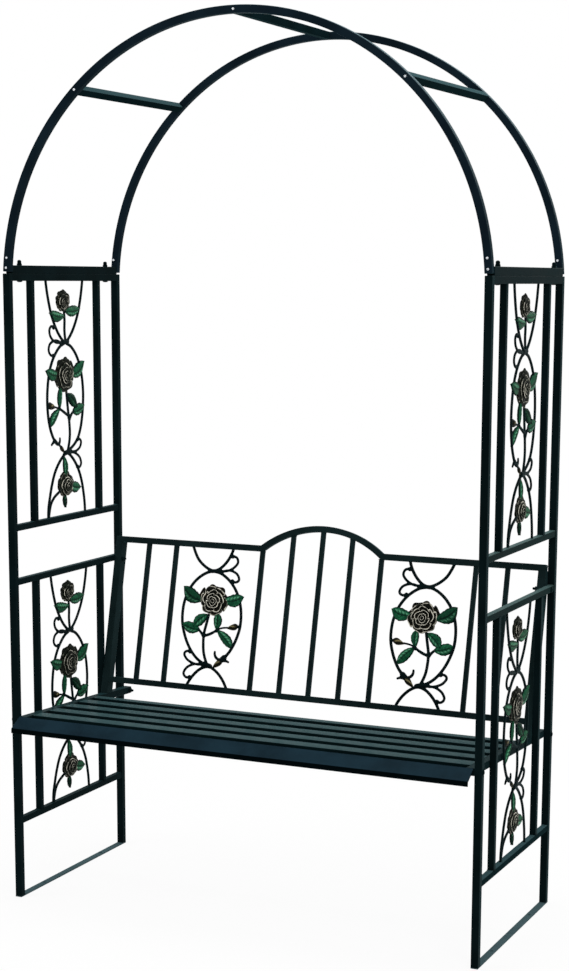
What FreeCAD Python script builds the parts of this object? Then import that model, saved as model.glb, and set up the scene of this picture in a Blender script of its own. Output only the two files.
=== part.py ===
import FreeCAD
import Part
import Sketcher

import math
import os
from types import SimpleNamespace

# Rose arch with bench. Millimetres, +X to the right, +Y to the back, +Z up.
# The origin is on the ground in the middle of the four anchor holes.

V = FreeCAD.Vector
Placement = FreeCAD.Placement
Rotation = FreeCAD.Rotation
X_AXIS = V(1, 0, 0)
Y_AXIS = V(0, 1, 0)
Z_AXIS = V(0, 0, 1)
ALONG = {"x": Rotation(Y_AXIS, 90), "y": Rotation(X_AXIS, 90), "z": Rotation()}
SIDES = {"left": -1, "right": 1}
ENDS = {"front": -1, "back": 1}

# Driving dimensions
SIZES = {
    "post_spacing_x": 1134,
    "post_spacing_y": 479,
    "post_size": 16,
    "rail_size": 14,
    "panel_bar_size": 14,
    "panel_bar_offset": 147,
    "tube_wall": 1.2,
    "strip_thickness": 3,
    "anchor_spacing": 266,
    "anchor_hole": 7,
    "panel_top": 1447.5,
    "panel_opening": 551,
    "lower_head_top": 755.5,
    "hoop_centre_height": 1421,
    "hoop_radius": 567,
    "hoop_gap": 4,
    "cross_bar_angle": 42.5,
    "base_rail_height": 18,
    "hoop_screw_low": 1460,
    "hoop_screw_high": 1482,
    "screw_diameter": 5,
    "screw_depth": 12,
    "screw_head": 6.5,
    "bolt_diameter": 6,
    "bolt_hole": 6.6,
    "bolt_head": 13,
    "nut_across_flats": 10,
    "nut_height": 5,
    "cap_nut_height": 12.5,
    "base_bolt_offset": 191,
    "seat_height": 424.6,
    "seat_tilt": 2.55,
    "seat_rail_width": 20,
    "seat_rail_height": 16,
    "seat_rail_front": 246,
    "seat_rail_back": 250,
    "slat_gap": 27,
    "slat_rear_edge": 88.5,
    "rear_slat_depth": 30.5,
    "slat_depth": 41,
    "front_slat_depth": 44,
    "apron_run": 34.3,
    "apron_drop": 22.1,
    "apron_lip": 10.5,
    "apron_sheet": 3,
    "apron_length": 1112,
    "back_foot_y": 140,
    "back_foot_height": 461,
    "back_lean": 13,
    "upright_size": 18,
    "upright_depth": 26,
    "back_opening": 337,
    "back_crown_rise": 56,
    "back_crown_half_width": 159,
    "back_bar_size": 10,
    "back_ornament_offset": 276,
    "back_ornament_height": 164.5,
    "bench_bolt_height": 749,
    "wire_diameter": 7,
    "twig_diameter": 5,
    "knot_depth": 9,
    "leaf_thickness": 3,
}

doc = FreeCAD.newDocument("rose_arch")
sheet = doc.addObject("Spreadsheet::Sheet", "Sizes")
for row, (alias, number) in enumerate(SIZES.items(), start=1):
    sheet.set(f"A{row}", alias)
    sheet.set(f"B{row}", str(number))
    sheet.setAlias(f"B{row}", alias)
doc.recompute()
d = SimpleNamespace(**{alias: float(sheet.get(alias)) for alias in SIZES})

nodes = []


def keep(item):
    """Count a finished object as one node of the assembly."""
    nodes.append(item)
    return item


def solid_node(label, shape, placement=Placement()):
    """A node whose shape no single feature makes."""
    item = doc.addObject("Part::Feature", label)
    item.Shape = shape
    item.Placement = placement
    return keep(item)


# Tubes, bars and drilled holes


def new_sketch(body, name):
    """A sketch on the body's own ground plane."""
    sketch = body.newObject("Sketcher::SketchObject", name)
    support = next(item for item in body.Origin.OriginFeatures if item.Role == "XY_Plane")
    sketch.AttachmentSupport = (support, [""])
    sketch.MapMode = "FlatFace"
    return sketch


def add_rectangle(sketch, name, width, height, centre_x="0"):
    """A rectangle centred on the sketch's X axis, its sizes bound to the sheet."""
    first = sketch.GeometryCount
    corners = [V(-1, -1, 0), V(1, -1, 0), V(1, 1, 0), V(-1, 1, 0)]
    for start, end in zip(corners, corners[1:] + corners[:1]):
        sketch.addGeometry(Part.LineSegment(start, end), False)
    centre = sketch.addGeometry(Part.Point(V(0, 0, 0)), True)
    for side in range(4):
        following = first + (side + 1) % 4
        sketch.addConstraint(Sketcher.Constraint("Coincident", first + side, 2, following, 1))
        direction = "Horizontal" if side % 2 == 0 else "Vertical"
        sketch.addConstraint(Sketcher.Constraint(direction, first + side))
    sketch.addConstraint(Sketcher.Constraint("PointOnObject", centre, 1, -1))
    sketch.addConstraint(Sketcher.Constraint("Symmetric", first, 1, first + 1, 2, centre, 1))
    sized = {
        "width": (Sketcher.Constraint("DistanceX", first, 1, first, 2, 2), width),
        "height": (Sketcher.Constraint("DistanceY", first + 1, 1, first + 1, 2, 2), height),
        "centre": (Sketcher.Constraint("DistanceX", -1, 1, centre, 1, 0), centre_x),
    }
    for word, (constraint, expression) in sized.items():
        index = sketch.addConstraint(constraint)
        sketch.renameConstraint(index, f"{name}_{word}")
        sketch.setExpression(f".Constraints.{name}_{word}", expression)


def add_section(sketch, width, height, hollow, centre_x="0"):
    """The cross-section of a square or flat tube, or of a solid bar."""
    add_rectangle(sketch, "outside", width, height, centre_x)
    if hollow:
        bore_width = f"{width} - 2 * Sizes.tube_wall"
        bore_height = f"{height} - 2 * Sizes.tube_wall"
        add_rectangle(sketch, "bore", bore_width, bore_height, centre_x)


def tube(label, section, length, at, direction, hollow=True, frame=Placement()):
    """A straight tube or bar, centred on a point and running along one axis."""
    body = doc.addObject("PartDesign::Body", label)
    sketch = new_sketch(body, label + "_section")
    add_section(sketch, section[0], section[1], hollow)
    pad = body.newObject("PartDesign::Pad", label + "_length")
    pad.Profile = sketch
    pad.SideType = "Symmetric"
    pad.setExpression("Length", length)
    body.Placement = frame.multiply(Placement(at, ALONG[direction]))
    return body


def drill(diameter, length, centre, axis):
    """The cylinder that a drilled hole takes out of a piece."""
    cylinder = doc.addObject("Part::Cylinder", "drill")
    cylinder.setExpression("Radius", f"{diameter} / 2")
    cylinder.Height = length
    cylinder.Placement = Placement(centre - axis * (length / 2), Rotation(Z_AXIS, axis))
    return cylinder


def cut_node(label, base, tools):
    """A node made by taking tools away from a base piece."""
    everything = doc.addObject("Part::Compound", label + "_tools")
    everything.Links = tools
    cut = doc.addObject("Part::Cut", label)
    cut.Base = base
    cut.Tool = everything
    return keep(cut)


POST_SECTION = ("Sizes.post_size", "Sizes.post_size")
RAIL_SECTION = ("Sizes.rail_size", "Sizes.rail_size")
UPRIGHT_SECTION = ("Sizes.upright_size", "Sizes.upright_depth")
PANEL_DEPTH = "Sizes.post_spacing_y - Sizes.post_size"
POST_X = d.post_spacing_x / 2
POST_Y = d.post_spacing_y / 2
CROSS_HOLE = 3 * d.post_size

# The seat's top plane and the bench back's front plane, as frames of their own
SEAT = Placement(V(0, 0, d.seat_height), Rotation(X_AXIS, -d.seat_tilt))
BACK = Placement(V(0, d.back_foot_y, d.back_foot_height), Rotation(X_AXIS, -d.back_lean))

# Bench bolts: one through each post into the seat rail, one through each panel head into the back
SEAT_RAIL_MIDDLE = -d.seat_rail_height / 2


def seat_bolt_point(end):
    """Where a bench bolt crosses the middle line of the seat rail, at a post."""
    depth = POST_Y * end / math.cos(math.radians(d.seat_tilt))
    return SEAT.multVec(V(0, depth, SEAT_RAIL_MIDDLE))


def back_bolt_point():
    """Where the upper bench bolt crosses the middle line of the leaning upright."""
    up = (d.bench_bolt_height - d.back_foot_height) / math.cos(math.radians(d.back_lean))
    return BACK.multVec(V(0, d.rail_size / 2, up))


# Side panels


def make_posts():
    height = "Sizes.panel_top - Sizes.strip_thickness"
    middle = (d.panel_top + d.strip_thickness) / 2
    for side, x_sign in SIDES.items():
        for end, y_sign in ENDS.items():
            label = f"{side}_{end}_post"
            at = V(POST_X * x_sign, POST_Y * y_sign, middle)
            post = tube(label + "_tube", POST_SECTION, height, at, "z")
            bolt = seat_bolt_point(y_sign)
            hole = drill("Sizes.bolt_hole", CROSS_HOLE, V(at.x, bolt.y, bolt.z), X_AXIS)
            cut_node(label, post, [hole])


def field_levels():
    """Bottom and top of the upper and the lower open field of a side panel."""
    upper_top = d.panel_top - d.post_size
    lower_top = d.lower_head_top - d.rail_size
    return {
        "upper": (upper_top - d.panel_opening, upper_top),
        "lower": (lower_top - d.panel_opening, lower_top),
    }


def make_panel_rails():
    levels = field_levels()
    half_rail = d.rail_size / 2
    for side, x_sign in SIDES.items():
        x = POST_X * x_sign
        top = V(x, 0, d.panel_top - d.post_size / 2)
        top_tube = tube(f"{side}_top_rail_tube", POST_SECTION, PANEL_DEPTH, top, "y")
        holes = [
            drill("Sizes.bolt_hole", CROSS_HOLE, top + Y_AXIS * (d.base_bolt_offset * end), Z_AXIS)
            for end in ENDS.values()
        ]
        cut_node(f"{side}_top_rail", top_tube, holes)

        head = V(x, 0, levels["lower"][1] + half_rail)
        head_tube = tube(f"{side}_lower_panel_head_tube", RAIL_SECTION, PANEL_DEPTH, head, "y")
        bolt = back_bolt_point()
        hole = drill("Sizes.bolt_hole", CROSS_HOLE, V(x, bolt.y, bolt.z), X_AXIS)
        cut_node(f"{side}_lower_panel_head", head_tube, [hole])

        for field in ("upper", "lower"):
            sill = V(x, 0, levels[field][0] - half_rail)
            keep(tube(f"{side}_{field}_panel_sill", RAIL_SECTION, PANEL_DEPTH, sill, "y"))


def make_ground_strips():
    length = "Sizes.post_spacing_y + Sizes.post_size"
    section = ("Sizes.post_size", "Sizes.strip_thickness")
    for side, x_sign in SIDES.items():
        at = V(POST_X * x_sign, 0, d.strip_thickness / 2)
        strip = tube(f"{side}_ground_strip_bar", section, length, at, "y", hollow=False)
        holes = [
            drill("Sizes.anchor_hole", CROSS_HOLE, at + Y_AXIS * (d.anchor_spacing / 2 * end), Z_AXIS)
            for end in ENDS.values()
        ]
        cut_node(f"{side}_ground_strip", strip, holes)


def make_panel_bars():
    section = ("Sizes.panel_bar_size", "Sizes.panel_bar_size")
    for side, x_sign in SIDES.items():
        for field, (bottom, top) in field_levels().items():
            bars = []
            for end, y_sign in ENDS.items():
                at = V(POST_X * x_sign, d.panel_bar_offset * y_sign, (bottom + top) / 2)
                label = f"{side}_{field}_{end}_bar"
                bars.append(tube(label, section, "Sizes.panel_opening", at, "z"))
            group = doc.addObject("Part::Compound", f"{side}_{field}_bars")
            group.Links = bars
            keep(group)


# Arch


def hoop_point(angle, y=0):
    """A point on the hoop's centre line, the angle counted from the crown."""
    turn = math.radians(angle)
    height = d.hoop_centre_height + d.hoop_radius * math.cos(turn)
    return V(d.hoop_radius * math.sin(turn), y, height)


def hoop_angle(height):
    """The angle from the crown at which the hoop passes a height."""
    return math.degrees(math.acos((height - d.hoop_centre_height) / d.hoop_radius))


CROSS_BARS = {"left": -d.cross_bar_angle, "top": 0, "right": d.cross_bar_angle}
LEG_SCREWS = [
    hoop_angle(height) * side
    for height in (d.hoop_screw_low, d.hoop_screw_high)
    for side in SIDES.values()
]
BASE_RAIL_Z = d.panel_top + d.base_rail_height / 2
HOOP_INNER_Y = POST_Y - d.post_size / 2
HOOP_OUTER_Y = POST_Y + d.post_size / 2


def make_hoops():
    foot = "(Sizes.panel_top + Sizes.hoop_gap - Sizes.hoop_centre_height) / Sizes.hoop_radius"
    for end, y_sign in ENDS.items():
        label = f"{end}_hoop"
        body = doc.addObject("PartDesign::Body", label + "_tube")
        sketch = new_sketch(body, label + "_section")
        add_section(sketch, *POST_SECTION, hollow=True, centre_x="Sizes.hoop_radius")
        bend = body.newObject("PartDesign::Revolution", label + "_bend")
        bend.Profile = sketch
        bend.ReferenceAxis = (sketch, ["V_Axis"])
        bend.Midplane = True
        bend.setExpression("Angle", f"180 deg - 2 * asin({foot})")
        body.Placement = Placement(V(0, POST_Y * y_sign, d.hoop_centre_height), Rotation(Y_AXIS, -90))
        holes = [
            drill("Sizes.screw_diameter", CROSS_HOLE, hoop_point(angle, POST_Y * y_sign), Y_AXIS)
            for angle in list(CROSS_BARS.values()) + LEG_SCREWS
        ]
        cut_node(label, body, holes)


def end_holes(angle):
    """Tapped holes in both ends of a bar between the hoops."""
    return [
        drill("Sizes.screw_diameter", 2 * d.screw_depth, hoop_point(angle, HOOP_INNER_Y * end), Y_AXIS)
        for end in ENDS.values()
    ]


def make_cross_bars():
    for name, angle in CROSS_BARS.items():
        label = f"{name}_cross_bar"
        bar = tube(label + "_bar", POST_SECTION, PANEL_DEPTH, V(0, 0, 0), "y", hollow=False)
        turned = Rotation(Y_AXIS, angle).multiply(ALONG["y"])
        bar.Placement = Placement(hoop_point(angle), turned)
        cut_node(label, bar, end_holes(angle))


def make_base_rails():
    section = ("Sizes.post_size", "Sizes.base_rail_height")
    for side, x_sign in SIDES.items():
        at = V(POST_X * x_sign, 0, BASE_RAIL_Z)
        label = f"{side}_arch_base_rail"
        bar = tube(label + "_bar", section, PANEL_DEPTH, at, "y", hollow=False)
        holes = [
            drill("Sizes.bolt_diameter", CROSS_HOLE, at + Y_AXIS * (d.base_bolt_offset * end), Z_AXIS)
            for end in ENDS.values()
        ]
        holes += end_holes(hoop_angle(d.hoop_screw_low) * x_sign)
        cut_node(label, bar, holes)


# Bench seat

RAIL_OUTER_X = POST_X - d.post_size / 2
RAIL_INNER_X = RAIL_OUTER_X - d.seat_rail_width
UPRIGHT_INNER_X = RAIL_OUTER_X - d.upright_size


def make_seat_rails():
    section = ("Sizes.seat_rail_width", "Sizes.seat_rail_height")
    length = "Sizes.seat_rail_front + Sizes.seat_rail_back"
    middle = (d.seat_rail_back - d.seat_rail_front) / 2
    for side, x_sign in SIDES.items():
        x = (RAIL_OUTER_X + RAIL_INNER_X) / 2 * x_sign
        label = f"{side}_seat_rail"
        at = V(x, middle, SEAT_RAIL_MIDDLE)
        rail = tube(label + "_tube", section, length, at, "y", frame=SEAT)
        holes = []
        for end in ENDS.values():
            bolt = seat_bolt_point(end)
            holes.append(drill("Sizes.bolt_hole", CROSS_HOLE, V(x, bolt.y, bolt.z), X_AXIS))
        cut_node(label, rail, holes)


def make_slats():
    """Five flat tubes between the seat rails, from the rear one to the front one."""
    depths = ["rear_slat_depth", "slat_depth", "slat_depth", "slat_depth", "front_slat_depth"]
    length = "Sizes.post_spacing_x - Sizes.post_size - 2 * Sizes.seat_rail_width"
    rear = d.slat_rear_edge
    for number, depth in enumerate(depths, start=1):
        front = rear - getattr(d, depth)
        section = ("Sizes.seat_rail_height", f"Sizes.{depth}")
        at = V(0, (rear + front) / 2, SEAT_RAIL_MIDDLE)
        keep(tube(f"seat_slat_{number}", section, length, at, "x", frame=SEAT))
        rear = front - d.slat_gap


def prism(points, direction):
    """A closed straight-sided outline pulled along a direction."""
    outline = Part.makePolygon(points + points[:1])
    return Part.Face(outline).extrude(direction)


def make_apron():
    """Folded sheet before the seat: a slanted face and a lip."""
    half = d.apron_length / 2
    rear = -d.seat_rail_front
    nose = rear - d.apron_run
    lip = -d.apron_drop - d.apron_lip
    slope = math.atan2(d.apron_drop, d.apron_run)
    sheet_drop = d.apron_sheet / math.cos(slope)
    inner = nose + d.apron_sheet
    inner_drop = d.apron_drop - d.apron_sheet * math.tan(slope)
    skin = [
        V(-half, rear, 0),
        V(-half, nose, -d.apron_drop),
        V(-half, nose, lip),
        V(-half, inner, lip),
        V(-half, inner, -inner_drop - sheet_drop),
        V(-half, rear, -sheet_drop),
    ]
    solid_node("seat_apron", prism(skin, X_AXIS * d.apron_length), SEAT)


# Bench back

# Middles of the plain bars: five under the crown and two at each end, with an ornament between
BACK_BARS = [0, -77, 77, -155, 155, -390.5, 390.5, -467, 467]
BACK_SHOULDER = d.back_opening + d.rail_size
CROWN_RADIUS = (d.back_crown_half_width ** 2 + d.back_crown_rise ** 2) / (2 * d.back_crown_rise)
CROWN_CENTRE = BACK_SHOULDER + d.back_crown_rise - CROWN_RADIUS


def back_line(inset):
    """The back's top line, inset from its upper edge: shoulder, raised arc, shoulder."""
    level = BACK_SHOULDER - inset
    radius = CROWN_RADIUS - inset
    knee = math.sqrt(radius ** 2 - (level - CROWN_CENTRE) ** 2)
    left_end = V(-RAIL_OUTER_X, d.rail_size / 2, level)
    left_knee = V(-knee, d.rail_size / 2, level)
    crown = V(0, d.rail_size / 2, CROWN_CENTRE + radius)
    right_knee = V(knee, d.rail_size / 2, level)
    right_end = V(RAIL_OUTER_X, d.rail_size / 2, level)
    return [
        Part.LineSegment(left_end, left_knee).toShape(),
        Part.Arc(left_knee, crown, right_knee).toShape(),
        Part.LineSegment(right_knee, right_end).toShape(),
    ]


def square_sweep(path, size):
    """A square section drawn along the back's top line, with mitred knees."""
    start = path.OrderedVertexes[0].Point
    half = size / 2
    corners = [(-half, -half), (half, -half), (half, half), (-half, half), (-half, -half)]
    section = Part.makePolygon([start + V(0, across, up) for across, up in corners])
    mitred = 1
    return path.makePipeShell([section], True, False, mitred)


def make_back_rails():
    path = Part.Wire(back_line(d.rail_size / 2))
    outside = square_sweep(path, d.rail_size)
    bore = square_sweep(path, d.rail_size - 2 * d.tube_wall)
    solid_node("back_top_rail", outside.cut(bore), BACK)

    at = V(0, d.rail_size / 2, -d.rail_size / 2)
    length = "Sizes.post_spacing_x - Sizes.post_size - 2 * Sizes.upright_size"
    keep(tube("back_bottom_rail", RAIL_SECTION, length, at, "x", frame=BACK))


def make_back_uprights():
    """Leaning tubes from the top of the seat rails to the back's top rail."""
    spare = 100
    seat_block = doc.addObject("Part::Box", "below_seat")
    seat_block.setExpression("Length", "Sizes.post_spacing_x")
    seat_block.setExpression("Width", "Sizes.post_spacing_y")
    seat_block.Height = 2 * spare
    corner = V(-POST_X, -POST_Y, -2 * spare)
    seat_block.Placement = SEAT.multiply(Placement(corner, Rotation()))
    for side, x_sign in SIDES.items():
        x = (RAIL_OUTER_X + UPRIGHT_INNER_X) / 2 * x_sign
        at = V(x, d.upright_depth / 2, (d.back_opening - spare) / 2)
        label = f"back_{side}_upright"
        length = f"Sizes.back_opening + {spare}"
        upright = tube(label + "_tube", UPRIGHT_SECTION, length, at, "z", frame=BACK)
        bolt = back_bolt_point()
        hole = drill("Sizes.bolt_hole", CROSS_HOLE, V(x, bolt.y, bolt.z), X_AXIS)
        cut_node(label, upright, [seat_block, hole])


def make_back_bars():
    """Plain bars from the bottom rail up to the underside of the top rail."""
    underside = back_line(d.rail_size)
    left = underside[0].Vertexes[0].Point
    right = underside[-1].Vertexes[-1].Point
    ground = [V(right.x, right.y, 0), V(left.x, left.y, 0)]
    lower = Part.makePolygon([right] + ground + [left])
    field = Part.Face(Part.Wire(underside + lower.Edges)).extrude(Y_AXIS * d.rail_size)
    field.translate(Y_AXIS * (-d.rail_size / 2))
    size = d.back_bar_size
    height = BACK_SHOULDER + d.back_crown_rise
    bars = []
    for x in BACK_BARS:
        corner = V(x - size / 2, (d.rail_size - size) / 2, 0)
        bars.append(Part.makeBox(size, size, height, corner).common(field))
    solid_node("back_bars", Part.makeCompound([bar.Solids[0] for bar in bars]), BACK)


# Rose ornaments, drawn in the XY plane about the middle of their oval

# Right half of the oval, from the upper knot to the lower one
OVAL = [(17, 113), (48, 91), (71, 55), (80, 6), (73, -38), (52, -80), (32, -100), (13, -112)]
# A pair of curls beside a knot: the long one, and the short one that forks off it
LONG_CURL = [(-17, 115), (-30, 118), (-43, 122), (-55, 130), (-63, 142), (-59, 153), (-47, 156)]
SHORT_CURL = [(-43, 122), (-55, 117), (-65, 110), (-68, 98), (-58, 94)]
LOWER_CURL_RAISE = 7
STEM = [(2, -112), (11, -104), (19, -86), (22, -62), (21, -41), (15, -11), (9, 14)]
BUD_BRANCH = [(21, -41), (4, -38), (-15, -25), (-26, -22), (-42, -18)]
LEAF_STALK = [(22, -50), (28, -37), (37, -28)]
THORNS = [[(-36, -96), (-25, -93), (-16, -83)], [(-36, -96), (-44, -99), (-52, -101)]]
KNOTS = [((0, 115), (40, 11)), ((0, -114), (30, 11))]
ROSE = ((-3, 43), 38)
BUD = ((-39, -19), (-70, -15), 17)
# Leaves: foot, tip and width
LEAVES = [
    ((-18, -21), (-20, 10), 15),
    ((-16, -33), (-50, -62), 21),
    ((14, 4), (43, -13), 17),
    ((35, -29), (76, -17), 19),
    ((-38, 47), (-72, 53), 23),
    ((33, 50), (63, 68), 26),
]

BACK_FEET = [
    [(9, 116), (30, 129), (46, 145), (61, 177)],
    [(-9, 116), (-22, 130), (-38, 150), (-50, 177)],
    [(-8, -115), (-20, -126), (-34, -139), (-45, -154), (-52, -170)],
    [(9, -115), (28, -128), (42, -143), (58, -170)],
]

# The side panels' ornament is taller: the oval is stretched, and roses stand above and below it
SIDE_STRETCH = 1.124
SIDE_FOOT = [(9, 130), (22, 146), (43, 171), (60, 199), (71, 231), (82, 282)]
SIDE_STEMS = [
    [(0, 130), (-3, 161), (-1, 184), (-4, 214)],
    [(-26, -212), (-50, -224), (-77, -236)],
]
SIDE_ROSES = [((-8, 229), 23), ((-7, -203), 27)]
SIDE_LEAVES = [
    ((-3, 187), (-58, 196), 20),
    ((2, 199), (59, 206), 20),
    ((-8, -132), (-5, -184), 14),
    ((18, -207), (67, -214), 20),
    ((-14, -226), (-11, -258), 16),
]


def flat(pair, stretch=1.0):
    return V(pair[0], pair[1] * stretch, 0)


def arc_edge(start, heading, end):
    """The arc that leaves a point along a heading and reaches the end point."""
    chord = end - start
    turn = math.atan2(heading.cross(chord).z, heading.dot(chord))
    if abs(turn) < 0.002:
        return Part.LineSegment(start, end).toShape()
    across = V(-chord.y, chord.x, 0).normalize()
    bulge = chord.Length / 2 * math.tan(turn / 2)
    return Part.Arc(start, start + chord * 0.5 - across * bulge, end).toShape()


def headings(points):
    """Directions of a smooth line at each of its points."""
    steps = [b - a for a, b in zip(points, points[1:])]
    units = [V(step).normalize() for step in steps]
    inner = []
    for before, after, one, two in zip(steps, steps[1:], units, units[1:]):
        inner.append((one * after.Length + two * before.Length).normalize())
    first = units[0] * (2 * units[0].dot(inner[0])) - inner[0]
    last = units[-1] * (2 * units[-1].dot(inner[-1])) - inner[-1]
    return [first] + inner + [last]


def smooth_path(points):
    """Pairs of tangent arcs through the points, as one wire."""
    edges = []
    ways = headings(points)
    for start, end, leave, arrive in zip(points, points[1:], ways, ways[1:]):
        chord = end - start
        both = leave + arrive
        spread = 2 * (1 - leave.dot(arrive))
        reach = chord.dot(both)
        if spread < 1e-6:
            handle = chord.dot(chord) / (2 * reach)
        else:
            handle = (math.sqrt(reach ** 2 + spread * chord.dot(chord)) - reach) / spread
        joint = (start + end + (leave - arrive) * handle) * 0.5
        edges.append(arc_edge(start, leave, joint))
        second = arc_edge(end, arrive * -1, joint)
        second.reverse()
        edges.append(second)
    return Part.Wire(edges), ways[0]


def bent_wire(points, diameter):
    """A round wire along a smooth line."""
    path, heading = smooth_path(points)
    ring = Part.Wire(Part.Circle(points[0], heading, diameter / 2).toShape())
    wire = path.makePipeShell([ring], True, False)
    expected = path.Length * math.pi * diameter ** 2 / 4
    if abs(wire.Volume - expected) > 0.05 * expected:
        raise ValueError("a bent wire is not a clean tube")
    return wire


def slab(outline, thickness):
    """A flat outline pulled to a thickness, half of it on either side."""
    face = Part.Face(outline)
    face.translate(V(0, 0, -thickness / 2))
    return face.extrude(V(0, 0, thickness))


def leaf(foot, tip, width, thickness):
    """A leaf: two arcs that meet in a point at each end."""
    across = V(foot.y - tip.y, tip.x - foot.x, 0).normalize() * (width / 2)
    middle = (foot + tip) * 0.5
    upper = Part.Arc(foot, middle + across, tip).toShape()
    lower = Part.Arc(tip, middle - across, foot).toShape()
    return slab(Part.Wire([upper, lower]), thickness)


def petal_ring(centre, radius, petals, phase, thickness):
    """A disc with a scalloped edge."""
    step = 2 * math.pi / petals
    notch = 0.86

    def rim(turn, share):
        return centre + V(math.cos(turn), math.sin(turn), 0) * (radius * share)

    edges = []
    for number in range(petals):
        start = phase + number * step
        arc = Part.Arc(rim(start, notch), rim(start + step / 2, 1), rim(start + step, notch))
        edges.append(arc.toShape())
    return slab(Part.Wire(edges), thickness)


def rose(centre, radius):
    """Rings of petals, each smaller and thicker than the one outside it."""
    rings = [(1.0, 7, 0.0, 0.2), (0.76, 6, 0.5, 0.36), (0.52, 5, 0.2, 0.5), (0.28, 4, 0.7, 0.6)]
    layers = [
        petal_ring(centre, radius * share, petals, phase, radius * depth)
        for share, petals, phase, depth in rings
    ]
    return layers[0].multiFuse(layers[1:])


def knot(centre, size):
    """The block that binds the wires where they cross."""
    corner = V(centre.x - size[0] / 2, centre.y - size[1] / 2, -d.knot_depth / 2)
    return Part.makeBox(size[0], size[1], d.knot_depth, corner)


def turned_half(points):
    """The curl at the other knot, half a turn round the middle."""
    return [(-u, LOWER_CURL_RAISE - v) for u, v in points]


def make_ornament(stretch, feet, stems, roses, leaves, bottom, top):
    """The wire scroll, the roses and the leaves of one ornament, each free of the others."""
    halves = [OVAL, [(-u, v) for u, v in OVAL]]
    curls = [LONG_CURL, SHORT_CURL, turned_half(LONG_CURL), turned_half(SHORT_CURL)]
    lines = halves + curls + [STEM, BUD_BRANCH, LEAF_STALK]
    wires = [bent_wire([flat(p, stretch) for p in line], d.wire_diameter) for line in lines]
    wires += [bent_wire([flat(p, stretch) for p in line], d.twig_diameter) for line in THORNS]
    wires += [bent_wire([flat(p) for p in line], d.wire_diameter) for line in feet + stems]
    knots = [knot(flat(centre, stretch), size) for centre, size in KNOTS]
    frame = knots[0].multiFuse(knots[1:] + wires)

    flowers = [rose(flat(ROSE[0], stretch), ROSE[1])]
    flowers += [rose(flat(centre), radius) for centre, radius in roses]
    bud_foot, bud_tip, bud_width = BUD
    flowers.append(leaf(flat(bud_foot, stretch), flat(bud_tip, stretch), bud_width, bud_width / 2))
    flower_group = Part.makeCompound(flowers)

    reach = 200
    window = Part.makeBox(reach, top - bottom, reach, V(-reach / 2, bottom, -reach / 2))
    scroll = frame.common(window).cut(flower_group)

    placed = [(flat(a, stretch), flat(b, stretch), width) for a, b, width in LEAVES]
    placed += [(flat(a), flat(b), width) for a, b, width in leaves]
    foliage = []
    for foot, tip, width in placed:
        blade = leaf(foot, tip, width, d.leaf_thickness).cut(flower_group).cut(scroll)
        for earlier in foliage:
            blade = blade.cut(earlier)
        foliage.append(blade)
    return {
        "scroll": Part.makeCompound(scroll.Solids),
        "roses": Part.makeCompound([solid for flower in flowers for solid in flower.Solids]),
        "leaves": Part.makeCompound([solid for blade in foliage for solid in blade.Solids]),
    }


def make_side_ornaments():
    half = d.panel_opening / 2
    feet = [
        [(u * across, v * up) for u, v in SIDE_FOOT] for across in (-1, 1) for up in (-1, 1)
    ]
    pieces = make_ornament(SIDE_STRETCH, feet, SIDE_STEMS, SIDE_ROSES, SIDE_LEAVES, -half, half)
    upright = Rotation(Y_AXIS, Z_AXIS, X_AXIS, "ZXY")
    for side, x_sign in SIDES.items():
        for field, (bottom, top) in field_levels().items():
            middle = V(POST_X * x_sign, 0, (bottom + top) / 2)
            for name, shape in pieces.items():
                solid_node(f"{side}_{field}_{name}", shape, Placement(middle, upright))


def make_back_ornaments():
    low = -d.back_ornament_height
    high = d.back_opening - d.back_ornament_height
    pieces = make_ornament(1.0, BACK_FEET, [], [], [], low, high)
    upright = Rotation(X_AXIS, 90)
    for side, x_sign in SIDES.items():
        middle = V(d.back_ornament_offset * x_sign, d.rail_size / 2, d.back_ornament_height)
        for name, shape in pieces.items():
            placed = shape if side == "right" else shape.mirror(V(0, 0, 0), X_AXIS)
            solid_node(f"back_{side}_{name}", placed, BACK.multiply(Placement(middle, upright)))


# Fasteners


def domed_fastener(head, diameter, shank, point, axis):
    """A domed head on a surface, with its shank running along the axis from there."""
    height = head / 4
    ball = ((head / 2) ** 2 + height ** 2) / (2 * height)
    edge = math.degrees(math.asin((ball - height) / ball))
    dome = Part.makeSphere(ball, point + axis * (ball - height), axis * -1, edge, 90, 360)
    return dome.fuse(Part.makeCylinder(diameter / 2, shank, point, axis))


def hexagon():
    """A hexagonal prism as high as a nut, standing on the origin."""
    radius = d.nut_across_flats / math.sqrt(3)
    turns = [math.radians(60 * number) for number in range(6)]
    return prism([V(radius * math.cos(a), radius * math.sin(a), 0) for a in turns], Z_AXIS * d.nut_height)


def hex_nut(point, axis):
    """A hexagonal nut that stands on a surface, with its bore."""
    nut = hexagon().cut(Part.makeCylinder(d.bolt_hole / 2, d.nut_height))
    nut.Placement = Placement(point, Rotation(Z_AXIS, axis))
    return nut


def cap_nut(point):
    """A nut with a closed round cap, screwed home on its bolt."""
    radius = 0.45 * d.nut_across_flats
    straight = d.cap_nut_height - radius
    cap = Part.makeCylinder(radius, straight).fuse(Part.makeSphere(radius, V(0, 0, straight)))
    nut = hexagon().fuse(cap)
    nut.translate(point)
    return nut


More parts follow.
